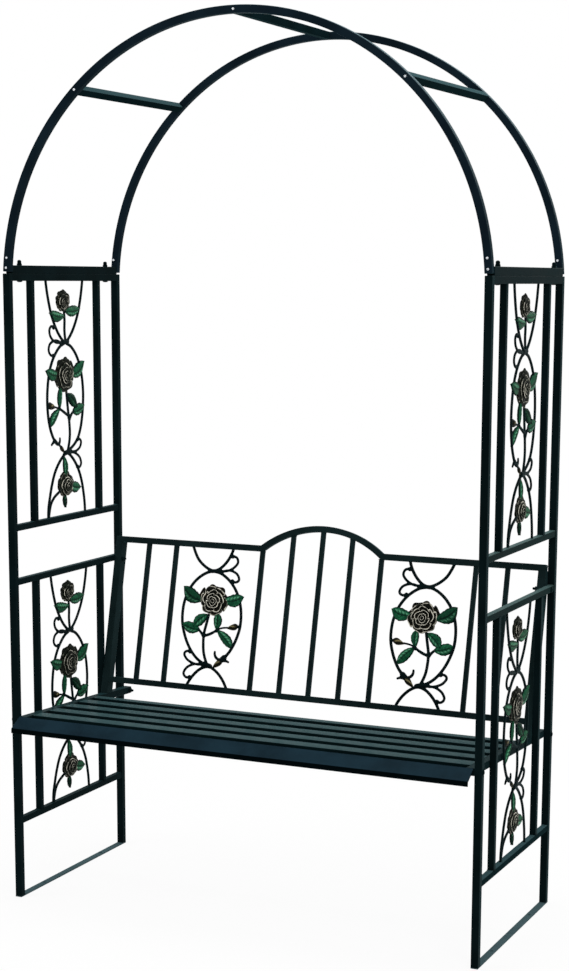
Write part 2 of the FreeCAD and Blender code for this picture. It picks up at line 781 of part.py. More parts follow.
def make_arch_fasteners():
    bolts = []
    length = d.post_size + d.base_rail_height
    for x_sign in SIDES.values():
        for y_sign in ENDS.values():
            under = V(POST_X * x_sign, d.base_bolt_offset * y_sign, d.panel_top - d.post_size)
            bolt = domed_fastener(d.bolt_head, d.bolt_diameter, length, under, Z_AXIS)
            bolts.append(bolt.fuse(cap_nut(under + Z_AXIS * length)).removeSplitter())
    solid_node("arch_base_bolts", Part.makeCompound(bolts))

    screws = []
    high = hoop_angle(d.hoop_screw_high)
    for y_sign in ENDS.values():
        for angle in list(CROSS_BARS.values()) + LEG_SCREWS:
            into_bar = abs(abs(angle) - high) > 0.01
            shank = d.post_size + (d.screw_depth if into_bar else d.tube_wall)
            start = hoop_point(angle, HOOP_OUTER_Y * y_sign)
            screws.append(domed_fastener(d.screw_head, d.screw_diameter, shank, start, Y_AXIS * -y_sign))
    solid_node("arch_screws", Part.makeCompound(screws))


def make_bench_fasteners():
    past_nut = 6
    post_face = POST_X + d.post_size / 2
    head_face = POST_X + d.rail_size / 2
    upper = back_bolt_point()
    places = [(seat_bolt_point(end), post_face, RAIL_INNER_X) for end in ENDS.values()]
    places.append((upper, head_face, UPRIGHT_INNER_X))
    bolts = []
    nuts = []
    for x_sign in SIDES.values():
        inward = X_AXIS * -x_sign
        for point, outer, inner in places:
            start = V(outer * x_sign, point.y, point.z)
            shank = outer - inner + d.nut_height + past_nut
            bolts.append(domed_fastener(d.bolt_head, d.bolt_diameter, shank, start, inward))
            nuts.append(hex_nut(V(inner * x_sign, point.y, point.z), inward))
    solid_node("bench_bolts", Part.makeCompound(bolts))
    solid_node("bench_nuts", Part.makeCompound(nuts))


make_posts()
make_panel_rails()
make_ground_strips()
make_panel_bars()
make_hoops()
make_cross_bars()
make_base_rails()
make_seat_rails()
make_slats()
make_apron()
make_back_rails()
make_back_uprights()
make_back_bars()
make_side_ornaments()
make_back_ornaments()
make_arch_fasteners()
make_bench_fasteners()
doc.recompute()

# Every object must have come out whole before any file is written
for item in doc.Objects:
    if "Invalid" in item.State or "Error" in item.State:
        raise RuntimeError(f"{item.Label} failed: {item.State}")
for item in nodes:
    if item.Shape.isNull() or not item.Shape.isValid():
        raise RuntimeError(f"{item.Label} has no valid shape")
    if not item.Shape.Solids:
        raise RuntimeError(f"{item.Label} has no solid")

os.makedirs("parts", exist_ok=True)
for item in nodes:
    item.Shape.exportStep(f"parts/{item.Label}.step")
    print(item.Label, len(item.Shape.Solids), round(item.Shape.Volume))
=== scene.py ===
import math
import random
from collections import namedtuple

import bpy
from mathutils import Matrix, Vector
from mathutils.geometry import interpolate_bezier


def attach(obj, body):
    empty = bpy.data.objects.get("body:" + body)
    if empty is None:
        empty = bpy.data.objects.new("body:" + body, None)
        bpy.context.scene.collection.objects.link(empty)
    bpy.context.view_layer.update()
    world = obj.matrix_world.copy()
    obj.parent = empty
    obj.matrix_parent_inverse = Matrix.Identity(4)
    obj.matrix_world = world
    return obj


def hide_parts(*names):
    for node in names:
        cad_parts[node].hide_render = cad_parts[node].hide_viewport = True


# Rose arch with bench: painted tube frame, slatted seat, cast rose ornaments.
# Sizes below are in millimetres; meshes are made in metres.

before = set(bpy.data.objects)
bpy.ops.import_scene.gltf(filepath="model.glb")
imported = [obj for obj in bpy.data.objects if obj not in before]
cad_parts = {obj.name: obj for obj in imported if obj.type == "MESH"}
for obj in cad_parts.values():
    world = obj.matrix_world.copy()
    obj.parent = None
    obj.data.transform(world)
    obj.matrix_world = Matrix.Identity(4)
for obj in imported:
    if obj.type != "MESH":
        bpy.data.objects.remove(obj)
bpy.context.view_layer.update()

MM = 0.001
X = Vector((1, 0, 0))
Y = Vector((0, 1, 0))
Z = Vector((0, 0, 1))
SIDES = {"left": -1, "right": 1}
ENDS = {"front": -1, "back": 1}

# Where the frame stands
POST_X = 567
POST_Y = 239.5
POST = 16
RAIL = 14
PANEL_BAR = 14
PANEL_BAR_Y = 147
STRIP_TOP = 3
PANEL_TOP = 1447.5
BASE_RAIL = 18
FIELDS = {"upper": (880.5, 1431.5), "lower": (190.5, 741.5)}
HOOP_CENTRE = 1421
HOOP_RADIUS = 567
HOOP_FOOT = 1451.5
CROSS_BARS = {"left": -42.5, "top": 0, "right": 42.5}
INNER_Y = POST_Y - POST / 2
OUTER_Y = POST_Y + POST / 2
# What the paint adds on each side of a tube, and what keeps two painted faces out of one plane
PAINT = 0.3
SLACK = 0.1

# The seat's top plane and the back's front plane
SEAT_TILT = math.radians(2.55)
SEAT = Matrix.Translation((0, 0, 424.6)) @ Matrix.Rotation(-SEAT_TILT, 4, "X")
BACK_LEAN = math.radians(13)
BACK_FOOT = Vector((0, 140, 461))
BACK = Matrix.Translation(BACK_FOOT) @ Matrix.Rotation(-BACK_LEAN, 4, "X")
LEVEL = Matrix.Identity(4)
SEAT_RAIL_OUTER = 559
SEAT_RAIL_INNER = 539
UPRIGHT = 18
UPRIGHT_DEPTH = 26
UPRIGHT_INNER = SEAT_RAIL_OUTER - UPRIGHT
UPRIGHT_FOOT = -46
BACK_OPENING = 337
CROWN_RADIUS = 253.7
CROWN_HEIGHT = 153.3
ORNAMENT_X = 276
ORNAMENT_V = 164.5


# Finishes


class Flow:
    """A socket of a finish's nodes that can stand in a Python expression."""

    def __init__(self, tree, socket=None):
        self.tree = tree
        self.socket = socket

    def node(self, kind, settings=None, inputs=None, output=0):
        """Add a node: its settings first, then the values or links of its sockets."""
        made = self.tree.nodes.new(kind)
        for name, setting in (settings or {}).items():
            setattr(made, name, setting)
        for key, given in (inputs or {}).items():
            if isinstance(given, Flow):
                self.tree.links.new(given.socket, made.inputs[key])
            else:
                made.inputs[key].default_value = given
        return Flow(self.tree, made.outputs[output] if made.outputs else None)

    def math(self, operation, first, second=0.0):
        return self.node("ShaderNodeMath", {"operation": operation}, {0: first, 1: second})

    def __add__(self, other):
        return self.math("ADD", self, other)

    __radd__ = __add__

    def __sub__(self, other):
        return self.math("SUBTRACT", self, other)

    def __rsub__(self, other):
        return self.math("SUBTRACT", other, self)

    def __mul__(self, other):
        return self.math("MULTIPLY", self, other)

    def mix(self, factor, first, second):
        """A colour between two colours."""
        settings = {"data_type": "RGBA"}
        return self.node("ShaderNodeMix", settings, {0: factor, 6: first, 7: second}, 2)

    def spread(self, low, high):
        """The part of this value between two limits, eased to 0 and 1."""
        settings = {"interpolation_type": "SMOOTHSTEP"}
        return self.node("ShaderNodeMapRange", settings, {0: self, 1: low, 2: high})

    def cloud(self, size, detail):
        """Cloudy noise with patches of about this size in millimetres."""
        place = self.node("ShaderNodeTexCoord", output="Object")
        inputs = {"Vector": place, "Scale": 1 / (size * MM), "Detail": detail}
        return self.node("ShaderNodeTexNoise", None, inputs)

    def mark(self, name):
        """A mark that a mesh carries on its points."""
        settings = {"attribute_type": "GEOMETRY", "attribute_name": name}
        return self.node("ShaderNodeAttribute", settings, None, "Fac")

    def bump(self, height, strength, distance):
        inputs = {"Height": height, "Strength": strength, "Distance": distance * MM}
        return self.node("ShaderNodeBump", None, inputs)

    def seen(self):
        """1 for what the camera sees, also in a mirror or through glass, and 0 for light."""
        rays = ("Is Camera Ray", "Is Glossy Ray", "Is Transmission Ray")
        camera, glossy, through = (self.node("ShaderNodeLightPath", output=ray) for ray in rays)
        return camera + glossy + through


def colour(red, green, blue):
    """A colour written as it shows on a screen, 0 to 255."""
    shares = [part / 255 for part in (red, green, blue)]
    linear = [s / 12.92 if s <= 0.04045 else ((s + 0.055) / 1.055) ** 2.4 for s in shares]
    return (*linear, 1.0)


def new_finish(name):
    material = bpy.data.materials.new(name)
    material.use_nodes = True
    material.node_tree.nodes.clear()
    return material, Flow(material.node_tree)


def close_finish(material, flow, inputs):
    surface = flow.node("ShaderNodeBsdfPrincipled", None, inputs)
    flow.node("ShaderNodeOutputMaterial", None, {"Surface": surface})
    return material


def coat(name, dark, light, bloom, roughness=0.4, gloss=1.035, haze=(0.32, 0.87, 0.96), painted_top_light=None):
    """Powder coat on steel: a dark colour with a faint cloud, a fine orange-peel skin and thin edges.

    The bloom is the strength of a teal haze that shows where the coat is seen at a flat angle.
    The gloss is the coat's refractive index: close to 1 it stays dark at a glance.
    A paler colour painted on the faces that look up is a painted highlight, for the light from above
    reflected in them.
    """
    material, flow = new_finish(name)
    drift = flow.cloud(90, 3.0).spread(0.3, 0.7)
    grain = flow.cloud(2.2, 1.0)
    edge = flow.mark("edge")
    tone = drift * 0.6 + grain * 0.2 + edge * 0.2
    peel = flow.bump(flow.cloud(1.3, 1.0), 0.10, 0.12)
    paint = flow.mix(tone, colour(*dark), colour(*light))
    if painted_top_light:
        # Painted highlight: faces that look up turn towards a paler colour
        normal = flow.node("ShaderNodeNewGeometry", output="Normal")
        upward = flow.node("ShaderNodeSeparateXYZ", None, {0: normal}, "Z").spread(0.25, 0.95)
        paint = flow.mix(upward * (0.75 + grain * 0.25), paint, colour(*painted_top_light))
    return close_finish(material, flow, {
        "Base Color": paint,
        "Roughness": roughness - 0.06 + drift * 0.08 + grain * 0.05 - edge * 0.05,
        "Normal": peel,
        "IOR": gloss,
        "Specular IOR Level": 0.5,
        "Specular Tint": (0.45, 1.0, 1.0, 1.0),
        "Sheen Weight": bloom,
        "Sheen Roughness": 0.32,
        "Sheen Tint": (*haze, 1.0),
    })


def rose_finish(name, fold, umber, ochre):
    """Brushed antique gold: dark brown in the folds, worn to pale gold on the petals' rims."""
    material, flow = new_finish(name)
    rim = flow.mark("rim")
    wear = flow.cloud(6, 3.0)
    fleck = flow.cloud(1.1, 2.0)
    patch = flow.cloud(17, 1.0)
    worn = (rim + (wear - 0.5) * 0.7 + (patch - 0.5) * 1.1).spread(0.5, 1.05)
    sheen = (rim * 0.45 + (wear - 0.5) * 1.2 + 0.1).spread(0.1, 0.8)
    brown = flow.mix(patch.spread(0.4, 0.65), colour(*umber), colour(*ochre))
    folds = flow.mix(sheen, colour(*fold), brown)
    gold = flow.mix(fleck, colour(192, 188, 166), colour(248, 246, 234))
    return close_finish(material, flow, {
        "Base Color": flow.mix(worn, folds, gold),
        "Roughness": 0.55 - worn * 0.12 + fleck * 0.1,
        "Metallic": worn * 0.15,
        "Normal": flow.bump(fleck * 0.5 + wear, 0.2, 0.3),
        "IOR": 1.12,
    })


def bud_finish():
    """The closed buds: olive brown with gold on the ridges."""
    material, flow = new_finish("bud_gold")
    rim = flow.mark("rim")
    wear = flow.cloud(4, 3.0)
    worn = (rim + (wear - 0.5) * 0.5).spread(0.35, 0.95)
    return close_finish(material, flow, {
        "Base Color": flow.mix(worn, colour(18, 19, 11), colour(118, 110, 78)),
        "Roughness": 0.45 + wear * 0.12,
        "Metallic": worn * 0.15,
        "Normal": flow.bump(wear, 0.2, 0.3),
        "IOR": 1.12,
    })


def leaf_finish():
    """Green lacquer brushed over the dark casting, thin at the rim and the veins; a pale streak on one
    half of each leaf is a painted highlight.
    """
    material, flow = new_finish("leaf_green")
    bare = flow.mark("rim")
    brush = flow.cloud(7, 3.0)
    fleck = flow.cloud(1.4, 2.0)
    thin = (bare + (brush - 0.5) * 0.8).spread(0.12, 0.8)
    green = flow.mix(brush.spread(0.3, 0.7), colour(6, 57, 37), colour(28, 96, 63))
    # Painted highlight: the pale streak that the leaves carry in their edge mark
    painted_highlight = (flow.mark("edge") + (fleck - 0.5) * 0.9).spread(0.4, 1.0)
    green = flow.mix(painted_highlight, green, colour(84, 152, 116))
    return close_finish(material, flow, {
        "Base Color": flow.mix(thin, green, colour(2, 17, 14)),
        "Roughness": 0.36 + thin * 0.14 + fleck * 0.08,
        "Normal": flow.bump(fleck * 0.4 + brush, 0.2, 0.3),
        "IOR": 1.12,
    })


def zinc_finish():
    """Zinc plate: metal with faint crystals and dull patches."""
    material, flow = new_finish("zinc_plate")
    crystals = flow.cloud(1.8, 3.0)
    dull = flow.cloud(9, 2.0).spread(0.35, 0.7)
    tone = crystals * 0.5 + dull * 0.5
    return close_finish(material, flow, {
        "Base Color": flow.mix(tone, colour(216, 220, 223), colour(176, 181, 185)),
        "Roughness": 0.34 + dull * 0.16,
        "Normal": flow.bump(crystals, 0.15, 0.1),
        "Metallic": 1.0,
    })


# Coats: name, dark and light colour, bloom, then what differs from the usual coat
FINISHES = {
    "frame": coat("frame_coat", (5, 12, 13), (10, 22, 24), 0.13),
    "rail": coat("rail_coat", (5, 12, 13), (10, 22, 24), 0.06),
    # Painted light: the hoops take a lighter, bluer copy of the frame's coat for the light from above,
    # with a painted highlight on faces that look up
    "arch": coat("arch_painted_light", (10, 18, 24), (20, 33, 42), 0.1, painted_top_light=(80, 98, 104)),
    # Painted highlight: the cross bars and the right panel's rails get a paler colour on faces that look
    # up
    "cross": coat("cross_coat", (3, 12, 14), (8, 24, 28), 0.07, gloss=1.005, painted_top_light=(58, 82, 86)),
    "sill": coat("sill_coat", (2, 12, 10), (6, 23, 19), 0.08, painted_top_light=(66, 85, 83)),
    "bench": coat("bench_coat", (13, 23, 24), (24, 38, 39), 0.13),
    # Painted light: the ground strips take a much lighter copy of the frame's coat for the light falling
    # on their tops
    "strip": coat("strip_painted_light", (56, 74, 78), (70, 90, 94), 0.13, 0.5),
    "scroll": coat("scroll_coat", (6, 14, 15), (12, 24, 26), 0.08, gloss=1.06),
    "seat": coat("seat_coat", (2, 10, 12), (5, 18, 20), 0.42, 0.32, 1.03, (0.46, 0.9, 0.96)),
    "apron": coat("apron_coat", (15, 28, 36), (25, 45, 56), 0.12, gloss=1.06),
    # Painted shade: a near-black copy of the apron's coat for the turned-down lip and the sheet's ends,
    # which stand in shade
    "lip": coat("lip_painted_shade", (1, 5, 6), (3, 9, 11), 0.0, 0.45, 1.03),
    "rose": rose_finish("antique_gold", (4, 6, 4), (44, 46, 36), (84, 66, 40)),
    "side_rose": rose_finish("dull_gold", (11, 15, 11), (62, 72, 60), (86, 84, 62)),
    "bud": bud_finish(),
    "leaf": leaf_finish(),
    "zinc": zinc_finish(),
}


# Forms: points and faces of one piece


class Form:
    """Points, faces and marks of a piece, in millimetres, before it becomes a mesh."""

    def __init__(self):
        self.points = []
        self.faces = []
        self.coats = []
        self.edge = []
        self.rim = []
        self.coat = 0

    def ring(self, points, edge=None, rim=None):
        first = len(self.points)
        self.points += points
        self.edge += edge or [0.0] * len(points)
        self.rim += rim or [0.0] * len(points)
        return list(range(first, len(self.points)))

    def face(self, corners):
        self.faces.append(corners)
        self.coats.append(self.coat)

    def bridge(self, first, second, closed=True):
        """Faces between two rows of points."""
        count = len(first) if closed else len(first) - 1
        for number in range(count):
            after = (number + 1) % len(first)
            self.face([first[number], first[after], second[after], second[number]])

    def tube(self, rings):
        """A closed skin over rings that run along an axis, counter-clockwise round it."""
        for first, second in zip(rings, rings[1:]):
            self.bridge(first, second)
        self.face(rings[0][::-1])
        self.face(rings[-1])

    def slab(self, front, back):
        """A closed sheet from two grids of points, rows first."""
        for first, second in zip(front, front[1:]):
            self.bridge(first, second, closed=False)
        for first, second in zip(back, back[1:]):
            self.bridge(second, first, closed=False)
        rims = []
        for grid in (back, front):
            rim = grid[0] + [row[-1] for row in grid[1:]]
            rims.append(rim + grid[-1][-2::-1] + [row[0] for row in grid[-2:0:-1]])
        self.bridge(*rims)

    def mesh(self, name, finishes, place=LEVEL):
        made = bpy.data.meshes.new(name)
        made.from_pydata([place @ point * MM for point in self.points], [], self.faces)
        for finish in finishes:
            made.materials.append(FINISHES[finish])
        made.polygons.foreach_set("material_index", self.coats)
        for mark, levels in (("edge", self.edge), ("rim", self.rim)):
            made.attributes.new(mark, "FLOAT", "POINT").data.foreach_set("value", levels)
        made.shade_smooth()
        made.validate()
        made.update()
        return made


def full_turn(count):
    """Angles all the way round in equal steps."""
    return [2 * math.pi * number / count for number in range(count)]


def quarter_turn(steps):
    """Angles from nothing to a right angle in equal steps."""
    return [math.radians(90 * step / steps) for step in range(steps + 1)]


def way_at(points, number):
    """The way a line of points runs at one of them."""
    return points[min(number + 1, len(points) - 1)] - points[max(number - 1, 0)]


def frame_on(axis):
    """Two directions square to an axis, so that the three are right-handed."""
    side = Z if abs(axis.z) < 0.9 else X
    first = side.cross(axis).normalized()
    return first, axis.cross(first)


def lathe(form, point, axis, profile, sides=32, shape=None):
    """A closed turned piece: distances along the axis and radii; shape moves single points."""
    first, second = frame_on(axis)
    rings = []
    for along, radius in profile:
        points = []
        for turn in full_turn(sides):
            a, b = radius * math.cos(turn), radius * math.sin(turn)
            sink = shape(along, a, b) if shape else 0.0
            points.append(point + axis * (along - sink) + first * a + second * b)
        rings.append(form.ring(points))
    form.tube(rings)


def set_piece(name, mesh, nodes, place=LEVEL):
    """Put a mesh in the scene in place of its CAD nodes."""
    piece = bpy.data.objects.new(name, mesh)
    bpy.context.scene.collection.objects.link(piece)
    piece.matrix_world = place
    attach(piece, "root")
    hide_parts(*nodes)
    return piece


def set_tubes(name, form, slot, nodes, place=LEVEL, finishes=None):
    """A piece made of tubes, with crisp flats and rounded corners."""
    mesh = form.mesh(name, finishes or [slot], place)
    mesh.set_sharp_from_angle(angle=math.radians(50))
    piece = set_piece(name, mesh, nodes)
    flats = piece.modifiers.new("flats", "WEIGHTED_NORMAL")
    flats.keep_sharp = True
    return piece


# Tubes and bars

CORNER_STEPS = 3
CORNER_EDGE = [0.3, 1.0, 1.0, 0.3] * 4


def section(width, height, corner, inset):
    """Outline of a tube with rounded corners, drawn in by an inset."""
    outline = []
    half_width = width / 2 - inset
    half_height = height / 2 - inset
    radius = max(corner - inset, 0.1)
    for number, (across, up) in enumerate([(1, 1), (-1, 1), (-1, -1), (1, -1)]):
        for step in range(CORNER_STEPS + 1):
            turn = math.radians(90 * (number + step / CORNER_STEPS))
            a = across * (half_width - radius) + radius * math.cos(turn)
            b = up * (half_height - radius) + radius * math.sin(turn)
            outline.append((a, b))
    return outline


def sweep(form, stations, width, height, corner):
    """A tube through stations: a middle point, two directions across and an inset."""
    rings = []
    for middle, across, up, inset in stations:
        outline = section(width + 2 * PAINT, height + 2 * PAINT, corner, inset)
        points = [middle + across * a + up * b for a, b in outline]
        rings.append(form.ring(points, edge=CORNER_EDGE))
    form.tube(rings)


def end_profile(kind, size):
    """Distances from a tube's end and insets there: a weld flares out, a plug is rounded."""
    if kind == "weld":
        fillet = [(0.0, 1.0), (0.12, 0.52), (0.3, 0.28), (0.6, 0.08), (1.0, 0.0)]
        return [(-0.8, -size)] + [(out * size, -flare * size) for out, flare in fillet]
    turns = reversed(quarter_turn(4))
    return [(size * (1 - math.sin(turn)), size * (1 - math.cos(turn))) for turn in turns]


def bar(form, start, end, across, size, ends, corner=1.6):
    """A straight tube between two points."""
    axis = (end - start).normalized()
    up = axis.cross(across)
    stations = [(start + axis * out, across, up, inset) for out, inset in end_profile(*ends[0])]
    far = [(end - axis * out, across, up, inset) for out, inset in end_profile(*ends[1])]
    sweep(form, stations + far[::-1], size[0], size[1], corner)


def set_bar(node, start, end, across, size, ends, corner=1.6, slot="frame", finish=None, place=LEVEL):
    """A piece that is one straight tube."""
    form = Form()
    bar(form, start, end, across, size, ends, corner)
    set_tubes(f"{node}_tube", form, slot, [node], place, [finish or slot])


# Ends of tubes: kind and size
WELD = ("weld", 1.0)
WIDE_WELD = ("weld", 1.6)
THIN_WELD = ("weld", 0.4)
FLUSH = ("weld", 0.1)
PLUG = ("plug", 1.6)
# Corner radius of the hoops and of the back's rails
BEND_CORNER = 1.8
# The right panel's rails that take a coat with a painted highlight on faces that look up, with that
# finish
PAINTED_HIGHLIGHT_RAILS = {"lower_panel_head": "sill", "upper_panel_sill": "sill", "lower_panel_sill": "cross"}


def make_posts():
    for side, x in SIDES.items():
        for end, y in ENDS.items():
            foot = Vector((POST_X * x, POST_Y * y, STRIP_TOP))
            head = Vector((POST_X * x, POST_Y * y, PANEL_TOP))
            set_bar(f"{side}_{end}_post", foot, head, X, (POST, POST), (FLUSH, PLUG))


def make_panel_rails():
    for side, x in SIDES.items():
        rails = {
            "top_rail": (PANEL_TOP - POST / 2, (POST, POST), FLUSH, "rail"),
            "lower_panel_head": (FIELDS["lower"][1] + RAIL / 2, (RAIL, RAIL), WELD, "frame"),
            "upper_panel_sill": (FIELDS["upper"][0] - RAIL / 2, (RAIL, RAIL), WELD, "frame"),
            "lower_panel_sill": (FIELDS["lower"][0] - RAIL / 2, (RAIL, RAIL), WELD, "frame"),
            "arch_base_rail": (PANEL_TOP + BASE_RAIL / 2, (POST, BASE_RAIL), FLUSH, "rail"),
        }
        for rail, (level, size, weld, finish) in rails.items():
            # Painted highlight: only the right panel's rails get the paler top colour
            if side == "right":
                finish = PAINTED_HIGHLIGHT_RAILS.get(rail, finish)
            front = Vector((POST_X * x, -INNER_Y, level))
            back = Vector((POST_X * x, INNER_Y, level))
            set_bar(f"{side}_{rail}", front, back, X, size, (weld, weld), finish=finish)
        for field, (low, high) in FIELDS.items():
            form = Form()
            for y in ENDS.values():
                foot = Vector((POST_X * x, PANEL_BAR_Y * y, low))
                head = Vector((POST_X * x, PANEL_BAR_Y * y, high))
                bar(form, foot, head, X, (PANEL_BAR, PANEL_BAR), (WELD, WELD))
            set_tubes(f"{side}_{field}_panel_bars", form, "frame", [f"{side}_{field}_bars"])


def hoop_point(angle, y):
    """A point on a hoop's middle line, the angle counted from the crown."""
    turn = math.radians(angle)
    return Vector((HOOP_RADIUS * math.sin(turn), y, HOOP_CENTRE + HOOP_RADIUS * math.cos(turn)))


def hoop_angle(height):
    return math.degrees(math.acos((height - HOOP_CENTRE) / HOOP_RADIUS))


def make_arch():
    reach = hoop_angle(HOOP_FOOT)
    for end, y in ENDS.items():
        angles = []
        for out, inset in end_profile(*PLUG):
            angles.append((-reach + math.degrees(out / HOOP_RADIUS), inset))
        steps = 120
        low, high = angles[-1][0], -angles[-1][0]
        middle = [(low + (high - low) * step / steps, 0.0) for step in range(1, steps)]
        angles = angles + middle + [(-angle, inset) for angle, inset in reversed(angles)]
        stations = []
        for angle, inset in angles:
            turn = math.radians(angle)
            outward = Vector((math.sin(turn), 0, math.cos(turn)))
            stations.append((hoop_point(angle, POST_Y * y), outward, -Y, inset))
        form = Form()
        sweep(form, stations, POST, POST, BEND_CORNER)
        set_tubes(f"{end}_hoop_tube", form, "frame", [f"{end}_hoop"], finishes=["arch"])
    for name, angle in CROSS_BARS.items():
        turn = math.radians(angle)
        tangent = Vector((math.cos(turn), 0, -math.sin(turn)))
        front, back = hoop_point(angle, -INNER_Y), hoop_point(angle, INNER_Y)
        size = (POST - SLACK, POST - SLACK)
        set_bar(f"{name}_cross_bar", front, back, tangent, size, (FLUSH, FLUSH), finish="cross")


# Bench

SLATS = [(88.5, 58), (31, -10), (-37, -78), (-105, -146), (-173, -217)]
SEAT_THICKNESS = 16
SEAT_FRONT = -246
SEAT_BACK = 250
APRON_SHEET = 3.0
APRON_BEND = 4.0
APRON_HALF = 556
APRON_FOLD = [Vector((0, SEAT_FRONT, 0)), Vector((0, -280.3, -22.1)), Vector((0, -280.3, -32.6))]


def make_seat():
    middle = -SEAT_THICKNESS / 2
    for side, x in SIDES.items():
        centre = (SEAT_RAIL_OUTER + SEAT_RAIL_INNER) / 2 * x
        size = (SEAT_RAIL_OUTER - SEAT_RAIL_INNER, SEAT_THICKNESS)
        front, back = Vector((centre, SEAT_FRONT, middle)), Vector((centre, SEAT_BACK, middle))
        set_bar(f"{side}_seat_rail", front, back, X, size, (PLUG, PLUG), corner=2.0, place=SEAT)
    for number, (rear, front) in enumerate(SLATS, start=1):
        y = (rear + front) / 2
        left, right = Vector((-SEAT_RAIL_INNER, y, middle)), Vector((SEAT_RAIL_INNER, y, middle))
        size = (rear - front, SEAT_THICKNESS - 2 * SLACK)
        ends = (THIN_WELD, THIN_WELD)
        set_bar(f"seat_slat_{number}", left, right, Y, size, ends, corner=3.0, slot="seat", place=SEAT)


def make_apron():
    """Folded sheet before the seat: a slanted face and a lip turned down."""
    upper, fold, lower = APRON_FOLD
    back, on = (upper - fold).normalized(), (lower - fold).normalized()
    reach = APRON_BEND / math.tan(back.angle(on) / 2)
    bend = interpolate_bezier(
        fold + back * reach, fold + back * reach * 0.45,
        fold + on * reach * 0.45, fold + on * reach, 6)
    skin = [upper, *bend, lower]
    inside = []
    for number, point in enumerate(skin):
        inside.append(point + X.cross(way_at(skin, number)).normalized() * APRON_SHEET)
    outline = skin + inside[::-1]
    form = Form()
    rounding = [(0.0, 0.5), (0.15, 0.15), (0.5, 0.0)]
    stops = [(-APRON_HALF + out, pull) for out, pull in rounding]
    stops += [(APRON_HALF - out, pull) for out, pull in reversed(rounding)]
    middle = sum(outline, Vector()) / len(outline)
    rings = []
    for x, pull in stops:
        points = [p + (middle - p).normalized() * pull * 0.3 + X * x for p in outline]
        rings.append(form.ring(points))
    form.tube(rings)
    turned_down = fold.z + 1
    # Painted shade: faces below the fold take the dark lip coat
    form.coats = [int(all(form.points[corner].z < turned_down for corner in face)) for face in form.faces]
    # Painted shade: the two ends take the dark lip coat as well
    form.coats[-2:] = [1, 1]
    piece = set_tubes("seat_apron_sheet", form, "seat", ["seat_apron"], SEAT, ["apron", "lip"])
    soft = piece.modifiers.new("soft_edges", "BEVEL")
    soft.width = 0.5 * MM
    soft.segments = 2
    soft.limit_method = "ANGLE"
    soft.angle_limit = math.radians(40)
    piece.modifiers.move(1, 0)


BACK_BARS = [0, -77, 77, -155, 155, -390.5, 390.5, -467, 467]
BACK_BAR = 10
MID_DEPTH = RAIL / 2


def back_top_line():
    """Middle line of the back's top rail with the direction across it, mitred at the knees."""
    radius = CROWN_RADIUS - RAIL / 2
    level = BACK_OPENING + RAIL / 2
    knee = math.acos((level - CROWN_HEIGHT) / radius)
    knee_x = radius * math.sin(knee)
    half_turn = knee / 2
    stretch = 1 / math.cos(half_turn)
    up_left = Vector((-math.sin(half_turn), 0, math.cos(half_turn))) * stretch
    line = []
    for out, inset in end_profile(*PLUG):
        line.append((Vector((-SEAT_RAIL_OUTER + out, MID_DEPTH, level)), Z, inset))
    line.append((Vector((-knee_x, MID_DEPTH, level)), up_left, 0.0))
    steps = 40
    for step in range(1, steps):
        turn = -knee + 2 * knee * step / steps
        outward = Vector((math.sin(turn), 0, math.cos(turn)))
        centre = Vector((0, MID_DEPTH, CROWN_HEIGHT))
        line.append((centre + outward * radius, outward, 0.0))
    other_half = [
        (Vector((-p.x, p.y, p.z)), Vector((-up.x, up.y, up.z)), inset)
        for p, up, inset in line if p.x < -knee_x + 0.01
    ]
    return line + other_half[::-1]


def make_back():
    form = Form()
    stations = [(point, Y, up, inset) for point, up, inset in back_top_line()]
    sweep(form, stations, RAIL, RAIL, BEND_CORNER)
    set_tubes("back_top_rail_tube", form, "frame", ["back_top_rail"], BACK, ["bench"])

    ends = (FLUSH, FLUSH)
    bench = {"finish": "bench", "place": BACK}
    low = -RAIL / 2
    left, right = Vector((-UPRIGHT_INNER, MID_DEPTH, low)), Vector((UPRIGHT_INNER, MID_DEPTH, low))
    set_bar("back_bottom_rail", left, right, Y, (RAIL, RAIL), ends, BEND_CORNER, **bench)
    for side, x in SIDES.items():
        middle = (SEAT_RAIL_OUTER + UPRIGHT_INNER) / 2 * x
        foot = Vector((middle, UPRIGHT_DEPTH / 2, UPRIGHT_FOOT))
        head = Vector((middle, UPRIGHT_DEPTH / 2, BACK_OPENING))
        set_bar(f"back_{side}_upright", foot, head, X, (UPRIGHT - SLACK, UPRIGHT_DEPTH), ends, **bench)

    form = Form()
    inner = CROWN_RADIUS - RAIL
    for x in BACK_BARS:
        rise = CROWN_HEIGHT + math.sqrt(max(inner ** 2 - x ** 2, 0))
        top = max(rise, BACK_OPENING) if abs(x) < inner else BACK_OPENING
        foot, head = Vector((x, MID_DEPTH, 0)), Vector((x, MID_DEPTH, top))
        bar(form, foot, head, X, (BACK_BAR, BACK_BAR), (WELD, WIDE_WELD), corner=1.2)
    set_tubes("back_plain_bars", form, "frame", ["back_bars"], BACK, ["bench"])


# Rose ornaments. Points are (across, up) about the middle of the oval.

WIRE = 7.8
CURL = 6.8
TWIG = 7.6
STALK = 5.2
STUB = 7.0
BUD_STALK = 6.5

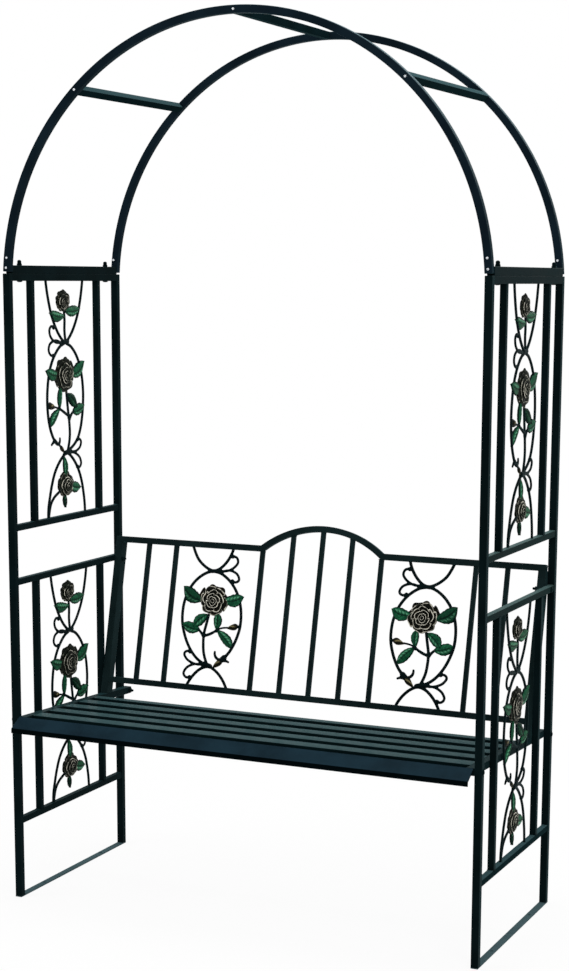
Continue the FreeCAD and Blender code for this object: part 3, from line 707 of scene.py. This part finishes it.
# The first main wire runs from top to bottom and changes sides at the knots; the second one ends at
# the sepals of the hanging bud, and the third one is the right leg of the lower arch
BACK_WIRES = [
    [(-49, 174), (-40, 152), (-27, 134), (-13, 122), (2, 116.5), (18, 112), (34, 103), (48, 91),
     (62, 73), (71, 55), (78, 30), (80, 6), (78.5, -17), (73, -38), (64, -60), (52, -80), (40, -94),
     (26, -105), (12, -112), (-3, -117.5), (-18, -125), (-32, -137), (-43, -151), (-51, -166)],
    [(61, 174), (54, 158), (45, 143), (31, 130), (16, 121), (0, 116), (-18, 112), (-34, 103),
     (-48, 91), (-62, 73), (-71, 55), (-78, 30), (-80, 6), (-78.5, -17), (-73, -38), (-64, -60),
     (-52, -80), (-37, -96)],
    [(-14, -122), (3, -118), (17, -122), (30, -131), (43, -145), (56, -166)],
]
SIDE_WIRES = [
    [(-82, 277), (-77, 252), (-70, 227), (-60, 200), (-44, 172), (-26, 150), (-10, 137), (5, 130),
     (22, 124), (42, 109), (58.5, 88), (70.5, 62), (77, 33), (79, 5), (77.5, -18), (72.5, -48), (64, -75),
     (52, -96), (34, -111), (14, -121), (0, -127), (-14, -134), (-36, -150), (-55, -172), (-69, -200),
     (-79, -229), (-85, -250), (-87, -277)],
    [(82, 277), (77, 252), (70, 227), (60, 200), (44, 172), (26, 150), (10, 137), (-5, 130),
     (-22, 124), (-42, 109), (-60, 88), (-73, 62), (-80, 33), (-83, 5), (-82.5, -18), (-78, -48),
     (-68, -75), (-55, -94), (-45, -102), (-38, -105)],
    [(-14, -132), (0, -128), (14, -134), (34, -150), (52, -172), (66, -200), (74, -229), (78, -250),
     (80, -277)],
]
# Short thick pieces where wires are welded: two points and a thickness
BACK_KNOTS = [
    ((-15, 117), (12, 116), 10.5), ((-4, -116), (15, -112), 12.5),
    ((18, -44), (18, -39), 9.5), ((-19, -25), (-15, -29), 9.5), ((-41, -92), (-35, -98), 14.5),
]
SIDE_KNOTS = [
    ((-12, 134), (12, 134), 10.5), ((-8, -128.5), (9, -126), 12.5),
    ((12, -46), (12, -40), 9.5), ((-32, -20), (-28, -23), 9.5), ((-54, -95), (-45, -102), 10.0),
]
BACK_CURLS = [
    [(-16, 118), (-43, 122), (-55, 130), (-63, 142), (-59, 153), (-48, 155)],
    [(-25, 117), (-51, 119), (-65, 110), (-68, 98), (-60, 93), (-51, 95)],
    [(16, -113), (47, -111), (63, -101), (68, -90), (61, -84), (53, -85)],
    [(14, -116), (47, -117), (63, -129), (67, -140), (60, -148), (50, -147)],
]
SIDE_CURLS = [
    [(-14, 134), (-54, 139), (-67, 152), (-68, 164), (-60, 171), (-50, 168)],
    [(-22, 133), (-54, 136), (-70, 127), (-73, 115), (-65, 105), (-53, 103)],
    [(14, -123), (46, -126), (63, -116), (66, -106), (57, -99), (50, -100)],
    [(12, -129), (44, -134), (62, -148), (65, -159), (57, -167), (48, -165)],
]
# Stem, branch and leaf stalk; the side ornaments also have a top and a low stem
BACK_TWIGS = [
    [(6, -109), (15, -86), (18, -62), (18, -41), (12, -11), (5, 20)],
    [(17, -43), (2, -38), (-16, -27)],
    [(18, -48), (24, -38), (35, -28)],
]
SIDE_TWIGS = [
    [(6, -120), (15, -89), (14, -60), (9, -30), (0, 34)],
    [(12, -42), (-6, -33), (-29, -22)],
    [(15, -50), (22, -40), (34, -31)],
    [(3, 132), (-2, 161), (-1, 184), (-5, 214)],
    [(-20, -208), (-38, -219), (-60, -230), (-73, -242), (-80, -257), (-83, -276)],
]
BACK_SPIKES = [[(-40, -93), (-31, -98), (-22, -96), (-16, -89), (-15, -80)],
               [(-36, -97), (-44, -99), (-53, -102)]]
SIDE_SPIKES = [[(-47, -101), (-39, -105), (-32, -102), (-30, -92)],
               [(-53, -97), (-60, -100), (-67, -105)]]
# The thin stalk before and the stub behind each side bud, and the stalk of the hanging one
BACK_STALKS = [[(-15, -27), (-30, -21), (-46, -19)], [(-67, -14.5), (-73, -14.2), (-79, -14)]]
SIDE_STALKS = [[(-29, -22), (-38, -20), (-50, -17)], [(-73, -13), (-79, -12), (-84, -11)],
               [(-42, -103), (-34, -107), (-26, -113)]]

# Leaves: foot, tip, width, bulge to one side as a share of the length, share of bare casting
BACK_LEAVES = [
    ((-16, -27), (-17, 16), 21, 0.05, 0.25),
    ((-17, -26), (-60, -69), 24, -0.04, 0.0),
    ((11, 10), (47, -23), 26, 0.06, 0.1),
    ((29, -30), (78, -17), 28, -0.06, 0.1),
    ((-30, 46), (-84, 59), 31, 0.1, 0.0),
    ((26, 42), (79, 74), 35, -0.13, 0.45),
]
SIDE_LEAVES = [
    ((-29, -24), (-25, 30), 16, 0.05, 0.15),
    ((-29, -22), (-67, -63), 23, -0.04, 0.0),
    ((6, 12), (45, -22), 26, 0.06, 0.55),
    ((29, -33), (80, -19), 28, -0.06, 0.1),
    ((-34, 57), (-86, 69), 28, 0.1, 0.2),
    ((23, 55), (80, 86), 34, -0.12, 0.2),
    ((-1, 194), (-66, 202), 26, 0.08, 0.1),
    ((1, 205.5), (67, 210.5), 26, -0.05, 0.0),
    ((-13, -135), (-9, -183), 18, 0.04, 0.2),
    ((10, -206), (60, -215), 27, -0.05, 0.1),
    ((-14, -222), (-11, -258), 15, 0.03, 0.65),
]
# Roses. All but the middle and the half height are shares: the heart's place, the width, how much
# the rose narrows upwards, its depth and its gold. The two small ones are seen half from the side
Rose = namedtuple("Rose", "middle half_height heart width narrowing depth gold")
BACK_ROSES = [Rose((-4, 43), 38, (0, 0), 1.0, 0.0, 0.68, 1.0)]
SIDE_ROSES = [
    Rose((-6, 54.5), 41, (0, 0), 1.0, 0.0, 0.68, 1.0),
    Rose((-8, 229), 24.5, (0.05, -0.25), 1.16, 0.0, 0.95, 1.0),
    Rose((-7, -203), 30, (0.2, -0.25), 1.12, 0.18, 0.76, 1.15),
]
# Buds: foot, tip, width
BACK_BUDS = [((-74, -12.5), (-43, -21), 17), ((-37, -96), (-10, -121), 16)]
SIDE_BUDS = [((-81.5, -10), (-47, -19), 18), ((-29, -110), (-10, -128), 12)]


def flat(pair):
    return Vector((pair[0], pair[1], 0))


WIRE_STEP = 2.5


def smooth_line(points):
    """Points close together on a smooth line through the given ones."""
    steps = [b - a for a, b in zip(points, points[1:])]
    ways = [
        (one.normalized() * two.length + two.normalized() * one.length).normalized()
        for one, two in zip(steps, steps[1:])
    ]
    ways.insert(0, (2 * steps[0].normalized() - ways[0]).normalized())
    ways.append((2 * steps[-1].normalized() - ways[-1]).normalized())
    line = [points[0]]
    for start, end, leave, arrive in zip(points, points[1:], ways, ways[1:]):
        third = (end - start).length / 3
        count = max(2, round(3 * third / WIRE_STEP) + 1)
        line += interpolate_bezier(start, start + leave * third, end - arrive * third, end, count)[1:]
    return line


def eased(share):
    share = min(max(share, 0.0), 1.0)
    return share * share * (3 - 2 * share)


WIRE_SIDES = 14
WIRE_DEPTH = 0.72
WIRE_CAP = [math.radians(angle) for angle in (30, 60, 82)]


def wire(form, places, thickness, start=1.0, end=1.0, blend=9.0):
    """A flattened wire along a smooth line; its ends may swell to a knob or run out to a point."""
    line = smooth_line([flat(place) for place in places])
    lengths = [0.0]
    for before, after in zip(line, line[1:]):
        lengths.append(lengths[-1] + (after - before).length)
    whole = lengths[-1]
    stations = []
    for number, (point, along) in enumerate(zip(line, lengths)):
        way = way_at(line, number).normalized()
        size = 1 + (start - 1) * eased(1 - along / blend) + (end - 1) * eased(1 - (whole - along) / blend)
        stations.append((point, way, thickness / 2 * size))
    for at, sign in ((0, -1), (-1, 1)):
        point, way, radius = stations[at]
        caps = [
            (point + way * (sign * radius * math.sin(turn)), way, radius * math.cos(turn))
            for turn in WIRE_CAP
        ]
        stations = caps[::-1] + stations if sign < 0 else stations + caps
    rings = []
    for point, way, radius in stations:
        across = Z.cross(way).normalized()
        depth = radius * WIRE_DEPTH
        ring = []
        for turn in full_turn(WIRE_SIDES):
            ring.append(point + across * (radius * math.cos(turn)) + Z * (depth * math.sin(turn)))
        rings.append(form.ring(ring))
    form.tube(rings)


CASTING_VOXEL = 1.1


def cast_together(mesh, voxel):
    """Melt overlapping wires into one casting with soft joints."""
    rough = bpy.data.objects.new("rough_casting", mesh)
    bpy.context.scene.collection.objects.link(rough)
    melt = rough.modifiers.new("melt", "REMESH")
    melt.mode = "VOXEL"
    melt.voxel_size = voxel * MM
    soften = rough.modifiers.new("soften", "SMOOTH")
    soften.factor = 0.5
    soften.iterations = 3
    graph = bpy.context.evaluated_depsgraph_get()
    cast = bpy.data.meshes.new_from_object(rough.evaluated_get(graph))
    bpy.data.objects.remove(rough)
    cast.shade_smooth()
    return cast


def make_scroll(name, wires, curls, twigs, stalks, spikes, knots, swell):
    form = Form()
    for line, end in zip(wires, (1.0, swell, 1.0)):
        wire(form, line, WIRE, end=end, blend=16.0)
    for line in curls:
        wire(form, line, CURL, end=1.6, blend=6.0)
    for line in twigs:
        wire(form, line, TWIG, end=0.85, blend=20.0)
    for line, thickness in zip(stalks, (STALK, STUB, BUD_STALK)):
        wire(form, line, thickness)
    for line in spikes:
        wire(form, line, TWIG, start=swell, end=0.8, blend=14.0)
    for start, end, thickness in knots:
        middle = [(one + two) / 2 for one, two in zip(start, end)]
        wire(form, [start, middle, end], thickness)
    mesh = form.mesh(name, ["scroll"])
    return cast_together(mesh, CASTING_VOXEL)


# Rings of petals from the heart outwards, for a rose of half width 1:
# count, foot and rim distance from the middle, foot and rim height, half the angle a petal spans
PETAL_RINGS = [
    (2, 0.02, 0.10, 0.16, 0.36, 105),
    (3, 0.10, 0.26, 0.13, 0.35, 66),
    (4, 0.20, 0.46, 0.10, 0.31, 52),
    (5, 0.32, 0.69, 0.06, 0.23, 43),
    (6, 0.44, 0.93, 0.02, 0.12, 37),
]
# How much gold the rims carry, ring by ring, and on the broad dark petals behind the upper half
BACK_GOLD = [1.2, 1.1, 1.0, 0.92, 0.8, 0.3]
SIDE_GOLD = [0.7, 0.72, 0.75, 0.72, 0.5, 0.2]
# The broad petals, and the angles they stand at
LAST_PETAL = (1, 0.5, 1.06, 0.0, 0.03, 30)
LAST_TURNS = [20, 66, 112, 158]
PETAL_ROWS = 12
PETAL_COLUMNS = 13
# The disc that carries the petals: heights and radii
ROSE_DISC = [(-0.1, 0.3), (-0.07, 0.62), (0, 0.72), (0.07, 0.62), (0.1, 0.3)]


def petal(form, rose, ring, turn, face, draw, gold):
    """One petal: a thin cupped sheet with a rolled rim, one side edge over its neighbour."""
    foot_out, rim_out, foot_up, rim_up, half = ring[1:]
    centre, radius = flat(rose.middle), rose.half_height
    half = math.radians(half)
    ruffle = draw.uniform(0, 6.28)
    reach = draw.uniform(0.94, 1.05)
    dip = draw.uniform(-0.015, 0.02)
    notch = draw.uniform(0.0, 0.05)
    grid, rims = [], []
    for row in range(PETAL_ROWS):
        t = 1 - (1 - row / (PETAL_ROWS - 1)) ** 1.5
        points, marks = [], []
        for column in range(PETAL_COLUMNS):
            s = 2 * column / (PETAL_COLUMNS - 1) - 1
            rise = t * (1 - 0.26 * s * s - notch * math.exp(-(s * 4) ** 2))
            curl = eased((t - 0.7) / 0.3)
            out = foot_out + (rim_out * reach - foot_out) * rise ** 1.15
            out = out * (1 + 0.12 * s) + 0.03 * curl
            up = foot_up + (rim_up - foot_up) * rise ** 0.75 - 0.03 * curl + dip * t
            up += 0.014 * t * math.sin(4 * s + ruffle) + 0.01 * s
            angle = turn + s * half * (0.72 + 0.28 * t)
            wave = 1 + 0.035 * t * math.sin(5 * s + ruffle)
            x = math.cos(angle) * out * wave + rose.heart[0] * (1 - out)
            y = math.sin(angle) * out * wave + rose.heart[1] * (1 - out)
            x *= rose.width - rose.narrowing * y
            points.append(Vector((x, y, up * rose.depth)) * radius)
            side_rim = eased((s - 0.9) / 0.1) * eased(t * 1.4)
            marks.append(gold * eased((s + 1) / 0.3) * max(eased((t - 0.84) / 0.12), side_rim))
        grid.append(points)
        rims.append(marks)
    columns = list(zip(*grid))
    thickness = 0.026 * radius
    front, back = [], []
    for row in range(PETAL_ROWS):
        outer, inner = [], []
        for column in range(PETAL_COLUMNS):
            along, across = way_at(columns[column], row), way_at(grid[row], column)
            lift = along.cross(across).normalized() * (thickness / 2)
            for side, points in ((1, outer), (-1, inner)):
                point = grid[row][column] + lift * side
                points.append(centre + Vector((point.x, point.y, point.z * face)))
        front.append(form.ring(outer, rim=rims[row]))
        back.append(form.ring(inner, rim=rims[row]))
    if face > 0:
        form.slab(back, front)
    else:
        form.slab(front, back)


def rose_head(form, rose, seed, gold):
    """An open rose, the same on both faces, on a dark disc."""
    form.coat = 0
    centre, radius = flat(rose.middle), rose.half_height
    for face in (1, -1):
        draw = random.Random(seed)
        turn = draw.uniform(0, 6.28)
        for ring, share in zip(PETAL_RINGS, gold):
            count = ring[0]
            turn += 0.9
            for number in range(count):
                lean = draw.uniform(-0.1, 0.1)
                angle = turn + 2 * math.pi * number / count + lean
                petal(form, rose, ring, angle, face, draw, share * rose.gold)
        for angle in LAST_TURNS:
            petal(form, rose, LAST_PETAL, math.radians(angle), face, draw, gold[-1] * rose.gold)
    lathe(form, centre, Z, [(up * radius, out * radius) for up, out in ROSE_DISC])


BUD_DEPTH = 0.6


def bud(form, foot, tip, width):
    """A closed bud, a little flattened: a pointed body of wrapped petals with ridges."""
    form.coat = 1
    axis = tip - foot
    way = axis.normalized()
    across = Z.cross(way)
    rings = []
    steps = 22
    for step in range(steps + 1):
        s = 0.5 - 0.5 * math.cos(math.pi * step / steps)
        body = max(math.sin(math.pi * s ** 0.72) ** 0.8, 0.02) * (1 - 0.25 * s)
        points, marks = [], []
        for turn in full_turn(24):
            fold = math.cos(3 * turn + 5.5 * s)
            radius = width / 2 * body * (1 + 0.10 * fold * eased(s * 3))
            side = across * radius * math.cos(turn) + Z * radius * BUD_DEPTH * math.sin(turn)
            points.append(foot + axis * s + side)
            marks.append(eased((fold - 0.1) / 0.9) * eased(s * 2.5))
        rings.append(form.ring(points, rim=marks))
    form.tube(rings)


LEAF_ROWS = 34
LEAF_COLUMNS = 17


def leaf(form, foot, tip, width, bulge, bare, draw):
    """A cast leaf, cupped and a little turned: toothed rim, middle rib and side veins on both faces."""
    axis = tip - foot
    way = axis.normalized()
    across = Z.cross(way)
    bend = bulge * axis.length
    cup = draw.uniform(0.1, 0.2) * draw.choice((-1, 1))
    turned = 0.14 * way.y ** 2
    teeth = max(3, round(axis.length / 11))
    shift = draw.uniform(0, 0.4)
    front, back = [], []
    for row in range(LEAF_ROWS):
        s = row / (LEAF_ROWS - 1)
        belly = math.sin(math.pi * s ** 1.15) ** 0.62 if 0 < s < 1 else 0.0
        belly *= 1 - 0.3 * eased((s - 0.78) / 0.22)
        saw = (s * teeth + shift) % 1
        half = max(width / 2 * belly * (1 + 0.1 * (saw - 0.5) * eased(s * 6)), 0.7)
        full = 2.0 + 1.8 * eased(s * 3) * (1 - 0.45 * eased((s - 0.6) / 0.4))
        upper, lower, marks, painted_highlights = [], [], [], []
        for column in range(LEAF_COLUMNS):
            t = 2 * column / (LEAF_COLUMNS - 1) - 1
            t = math.copysign(abs(t) ** 0.85, t)
            away = abs(t)
            vein = (s * (teeth + 1) - away * 1.3) % 1
            groove = math.exp(-((vein - 0.5) * 7) ** 2) * eased(away * 4) * (1 - away)
            rib = math.exp(-(away * half / 0.9) ** 2)
            beside = math.exp(-((away * half - 2.0) / 0.9) ** 2)
            depth = 0.9 + (full - 0.9) * (1 - away ** 2.6) - 0.7 * groove + 0.35 * rib - 0.5 * beside
            point = foot + axis * s + across * (t * half + bend * math.sin(math.pi * s))
            lift = turned * (point.x - foot.x) + cup * half * t * t
            upper.append(point + Z * (lift + depth))
            lower.append(point + Z * (lift - depth))
            dark = max(eased((away - 0.7) / 0.3), groove, 0.75 * rib, eased((0.12 - s) / 0.12))
            marks.append(max(dark, bare))
            # Painted highlight: a pale streak on one half of the leaf, carried in the edge mark
            painted_highlight = math.exp(-((t + 0.42) / 0.25) ** 2) * (1 - groove)
            painted_highlights.append(painted_highlight * eased(s * 4) * eased(4 - 4 * s))
        front.append(form.ring(upper, edge=painted_highlights, rim=marks))
        back.append(form.ring(lower, edge=painted_highlights, rim=marks))
    form.slab(back, front)


ROSE_SEED = 11
LEAF_SEED = 5


def make_flowers(name, roses, buds, gold, finish):
    form = Form()
    for number, rose in enumerate(roses):
        rose_head(form, rose, ROSE_SEED + number, gold)
    for foot, tip, width in buds:
        bud(form, flat(foot), flat(tip), width)
    return form.mesh(name, [finish, "bud"])


def make_foliage(name, leaves):
    form = Form()
    draw = random.Random(LEAF_SEED)
    for foot, tip, width, bulge, bare in leaves:
        leaf(form, flat(foot), flat(tip), width, bulge, bare, draw)
    return form.mesh(name, ["leaf"])


# The left ornament of the back stands a little askew between its rails
ASKEW = Matrix(((1, -0.042, 0, 0), (0, 1, 0, 0), (0, 0, 1, 0), (0, 0, 0, 1)))


def mirrored(mesh):
    """The other hand of a mesh, for the left ornament of the back."""
    other = mesh.copy()
    other.transform(ASKEW @ Matrix.Scale(-1, 4, X))
    other.flip_normals()
    return other


# What each part of an ornament is called in the scene, and its slot
ORNAMENT_PIECES = {
    "scroll": ("scroll_casting", "scroll"),
    "roses": ("rose_heads", "rose"),
    "leaves": ("rose_leaves", "leaf"),
}


def make_ornaments():
    back = {
        "scroll": make_scroll("back_scroll", BACK_WIRES, BACK_CURLS, BACK_TWIGS, BACK_STALKS,
                              BACK_SPIKES, BACK_KNOTS, swell=1.7),
        "roses": make_flowers("back_roses", BACK_ROSES, BACK_BUDS, BACK_GOLD, "rose"),
        "leaves": make_foliage("back_leaves", BACK_LEAVES),
    }
    side = {
        "scroll": make_scroll("side_scroll", SIDE_WIRES, SIDE_CURLS, SIDE_TWIGS, SIDE_STALKS,
                              SIDE_SPIKES, SIDE_KNOTS, swell=1.2),
        "roses": make_flowers("side_roses", SIDE_ROSES, SIDE_BUDS, SIDE_GOLD, "side_rose"),
        "leaves": make_foliage("side_leaves", SIDE_LEAVES),
    }
    upright = Matrix.Rotation(math.radians(90), 4, "X")
    outward = Matrix(((0, 0, 1, 0), (1, 0, 0, 0), (0, 1, 0, 0), (0, 0, 0, 1)))
    for hand, x in SIDES.items():
        middle = BACK @ Vector((ORNAMENT_X * x, MID_DEPTH, ORNAMENT_V))
        place = Matrix.Translation(middle * MM) @ BACK.to_3x3().to_4x4() @ upright
        for part, (word, slot) in ORNAMENT_PIECES.items():
            made = back[part] if hand == "right" else mirrored(back[part])
            set_piece(f"back_{hand}_{word}", made, [f"back_{hand}_{part}"], place)
        for field, (low, high) in FIELDS.items():
            spot = Matrix.Translation(Vector((POST_X * x, 0, (low + high) / 2)) * MM) @ outward
            for part, (word, slot) in ORNAMENT_PIECES.items():
                set_piece(f"{hand}_{field}_{word}", side[part], [f"{hand}_{field}_{part}"], spot)


# Fasteners


def dome(foot, rise, radius, steps):
    """Profile of a round head from its foot to its top."""
    turns = quarter_turn(steps)
    return [(foot + rise * math.sin(turn), max(radius * math.cos(turn), 0.15)) for turn in turns]


def screw(form, point, outward, head, shank, length, thread=0):
    """A domed head with a cross slot, its shank running inwards and ending in a thread."""
    height = head / 4
    slot_half, slot_reach = head * 0.055, head * 0.27

    def cross(along, a, b):
        if along < height * 0.3:
            return 0.0
        near, far = sorted((abs(a), abs(b)))
        return height * 0.5 * eased((slot_half + 0.25 - near) / 0.25) * eased((slot_reach - far) / 0.4)

    profile = []
    tip = -length
    if thread:
        pitch = 1.0
        turns = int(thread / pitch)
        profile += [(tip, shank / 2 - 0.9), (tip + 0.5, shank / 2 - 0.35)]
        for number in range(turns):
            low = tip + 0.6 + number * pitch
            profile += [(low, shank / 2 - 0.4), (low + 0.35, shank / 2), (low + 0.65, shank / 2)]
        profile.append((tip + 0.8 + turns * pitch, shank / 2 - 0.2))
    else:
        profile.append((tip, shank / 2))
    profile += [(0.0, shank / 2), (0.0, head / 2 - 0.3), (0.15, head / 2), (0.6, head / 2)]
    profile += dome(0.6, height - 0.6, head / 2, 14)[1:]
    lathe(form, point, outward, profile, 48, cross)


def nut(form, point, outward, flats, height, bore):
    """A hexagonal nut with chamfered corners."""
    first, second = frame_on(outward)
    corner = flats / math.sqrt(3)
    rings = []
    profile = [(0, 0.92), (0.6, 1.0), (height - 0.6, 1.0), (height, 0.92), (height, 0), (0, 0)]
    for along, share in profile:
        points = []
        for turn in full_turn(48):
            local = (math.degrees(turn) % 60) - 30
            edge = flats / 2 / math.cos(math.radians(local))
            radius = min(edge, corner * share) if share else bore / 2
            out = first * math.cos(turn) + second * math.sin(turn)
            points.append(point + outward * along + out * radius)
        rings.append(form.ring(points))
    for one, two in zip(rings, rings[1:] + rings[:1]):
        form.bridge(one, two)


def cap_nut(form, point, outward, flats, height):
    """A closed nut: a hexagonal foot under a round cap."""
    foot = height * 0.34
    straight = height * 0.72
    cap = flats * 0.46
    nut(form, point, outward, flats, foot, 1.0)
    profile = [(0.2, flats * 0.3), (foot, cap)] + dome(straight, height - straight, cap, 8)
    lathe(form, point, outward, profile)


def set_fasteners(name, form, nodes, finish):
    mesh = form.mesh(name, [finish])
    mesh.set_sharp_from_angle(angle=math.radians(38))
    set_piece(name, mesh, nodes)


BASE_BOLT_Y = 191
BOLT = 6
BOLT_HEAD = 13
NUT_FLATS = 10
NUT_HEIGHT = 5
CAP_HEIGHT = 12.5
SCREW = 5
SCREW_HEAD = 5.2
HOOP_SCREW_LEVELS = (1460, 1482)
BACK_BOLT_LEVEL = 749
# How far a screw or bolt runs on past what it holds
SCREW_PAST = 6


def make_fasteners():
    form = Form()
    for x in SIDES.values():
        for y in ENDS.values():
            under = Vector((POST_X * x, BASE_BOLT_Y * y, PANEL_TOP - POST))
            length = POST + BASE_RAIL
            screw(form, under, -Z, BOLT_HEAD, BOLT, length)
            cap_nut(form, under + Z * length, Z, NUT_FLATS, CAP_HEIGHT)
    set_fasteners("arch_base_bolt_set", form, ["arch_base_bolts"], "frame")

    form = Form()
    feet = [hoop_angle(height) * x for height in HOOP_SCREW_LEVELS for x in SIDES.values()]
    for y in ENDS.values():
        for angle in list(CROSS_BARS.values()) + feet:
            screw(form, hoop_point(angle, OUTER_Y * y), Y * y, SCREW_HEAD, SCREW, POST + SCREW_PAST)
    set_fasteners("arch_screw_set", form, ["arch_screws"], "zinc")

    bolts, nuts = Form(), Form()
    for x in SIDES.values():
        spots = []
        for y in ENDS.values():
            point = SEAT @ Vector((0, POST_Y * y / math.cos(SEAT_TILT), -SEAT_THICKNESS / 2))
            spots.append((point, POST_X + POST / 2, SEAT_RAIL_INNER))
        up = (BACK_BOLT_LEVEL - BACK_FOOT.z) / math.cos(BACK_LEAN)
        spots.append((BACK @ Vector((0, MID_DEPTH, up)), POST_X + RAIL / 2, UPRIGHT_INNER))
        for point, outer, inner in spots:
            length = outer - inner + NUT_HEIGHT + SCREW_PAST
            start = Vector((outer * x, point.y, point.z))
            screw(bolts, start, X * x, BOLT_HEAD, BOLT, length, thread=9)
            nut(nuts, Vector((inner * x, point.y, point.z)), X * -x, NUT_FLATS, NUT_HEIGHT, BOLT + 0.2)
    set_fasteners("bench_bolt_set", bolts, ["bench_bolts"], "frame")
    set_fasteners("bench_nut_set", nuts, ["bench_nuts"], "frame")


def coat_ground_strips():
    for side in SIDES:
        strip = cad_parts[f"{side}_ground_strip"]
        strip.data.materials.clear()
        # Painted light: the strips get the lighter strip coat
        strip.data.materials.append(FINISHES["strip"])


make_posts()
make_panel_rails()
make_arch()
make_seat()
make_apron()
make_back()
make_ornaments()
make_fasteners()
coat_ground_strips()


# Floor, light and camera, in metres


def make_floor():
    """A pale floor that keeps the shadow and runs out into the white background."""
    material, flow = new_finish("pale_floor")
    place = flow.node("ShaderNodeTexCoord", output="Object")
    away = flow.node("ShaderNodeVectorMath", {"operation": "LENGTH"}, {0: place}, "Value")
    near_white = 0.9
    white = flow.seen() * (near_white + away.spread(1.2, 3.0) * (1 - near_white))
    pale = flow.node("ShaderNodeBsdfDiffuse", None, {"Color": colour(236, 236, 236)})
    glow = flow.node("ShaderNodeEmission", None, {"Color": (1, 1, 1, 1), "Strength": 1.0})
    surface = flow.node("ShaderNodeMixShader", None, {0: white, 1: pale, 2: glow})
    flow.node("ShaderNodeOutputMaterial", None, {"Surface": surface})
    mesh = bpy.data.meshes.new("floor")
    reach = 12
    corners = [(-reach, -reach, 0), (reach, -reach, 0), (reach, reach, 0), (-reach, reach, 0)]
    mesh.from_pydata(corners, [], [[0, 1, 2, 3]])
    mesh.materials.append(material)
    floor = bpy.data.objects.new("floor", mesh)
    bpy.context.scene.collection.objects.link(floor)


def make_world():
    """White to look at and in reflections, softer as a light."""
    world = bpy.data.worlds.new("studio")
    world.use_nodes = True
    world.node_tree.nodes.clear()
    flow = Flow(world.node_tree)
    light = 0.6
    strength = flow.math("MINIMUM", light + flow.seen() * (1 - light), 1.0)
    back = flow.node("ShaderNodeBackground", None, {"Color": (1, 1, 1, 1), "Strength": strength})
    flow.node("ShaderNodeOutputWorld", None, {"Surface": back})
    bpy.context.scene.world = world


# Where each lamp stands and what it looks at, in metres, and its power in watts
LAMPS = {
    "key": ((2.6, -3.0, 3.6), (0, 0, 0.8), 65),
    "top": ((0.0, 0.5, 4.2), (0, 0, 0.8), 70),
    "fill": ((-3.2, -2.2, 2.4), (0, 0, 0.8), 35),
    "rear": ((0.5, 3.6, 3.0), (0, 0, 0.9), 35),
}
LAMP_SIZE = 2.4


def make_lamp(name, place, aim, power):
    data = bpy.data.lights.new(name, "AREA")
    data.shape = "DISK"
    data.size = LAMP_SIZE
    data.energy = power
    lamp = bpy.data.objects.new(name, data)
    lamp.location = place
    lamp.rotation_euler = (Vector(aim) - Vector(place)).to_track_quat("-Z", "Y").to_euler()
    bpy.context.scene.collection.objects.link(lamp)


def make_camera():
    """The photograph's viewpoint, fitted to the straight edges of the frame."""
    # In pixels: the focal length, the lens's middle in the picture and the picture's size
    focal, across, down = 1923.73, 307.26, 607.62
    wide, tall = 569, 971
    sensor = 36
    eye = (1.8386, -3.9388, 1.4401)
    turn, pitch, roll = math.radians(24.2587), math.radians(9.7102), math.radians(0.3048)
    data = bpy.data.cameras.new("camera")
    data.sensor_width = sensor
    data.lens = sensor * focal / tall
    data.shift_x = -(across - wide / 2) / tall
    data.shift_y = (down - tall / 2) / tall
    data.clip_end = 100
    camera = bpy.data.objects.new("camera", data)
    aim = Matrix.Rotation(turn, 4, "Z") @ Matrix.Rotation(math.pi / 2 - pitch, 4, "X")
    camera.matrix_world = Matrix.Translation(eye) @ aim @ Matrix.Rotation(roll, 4, "Z")
    bpy.context.scene.collection.objects.link(camera)
    bpy.context.scene.camera = camera


make_floor()
make_world()
for lamp, (place, aim, power) in LAMPS.items():
    make_lamp(lamp, place, aim, power)
make_camera()
bpy.context.scene.view_settings.view_transform = "Standard"
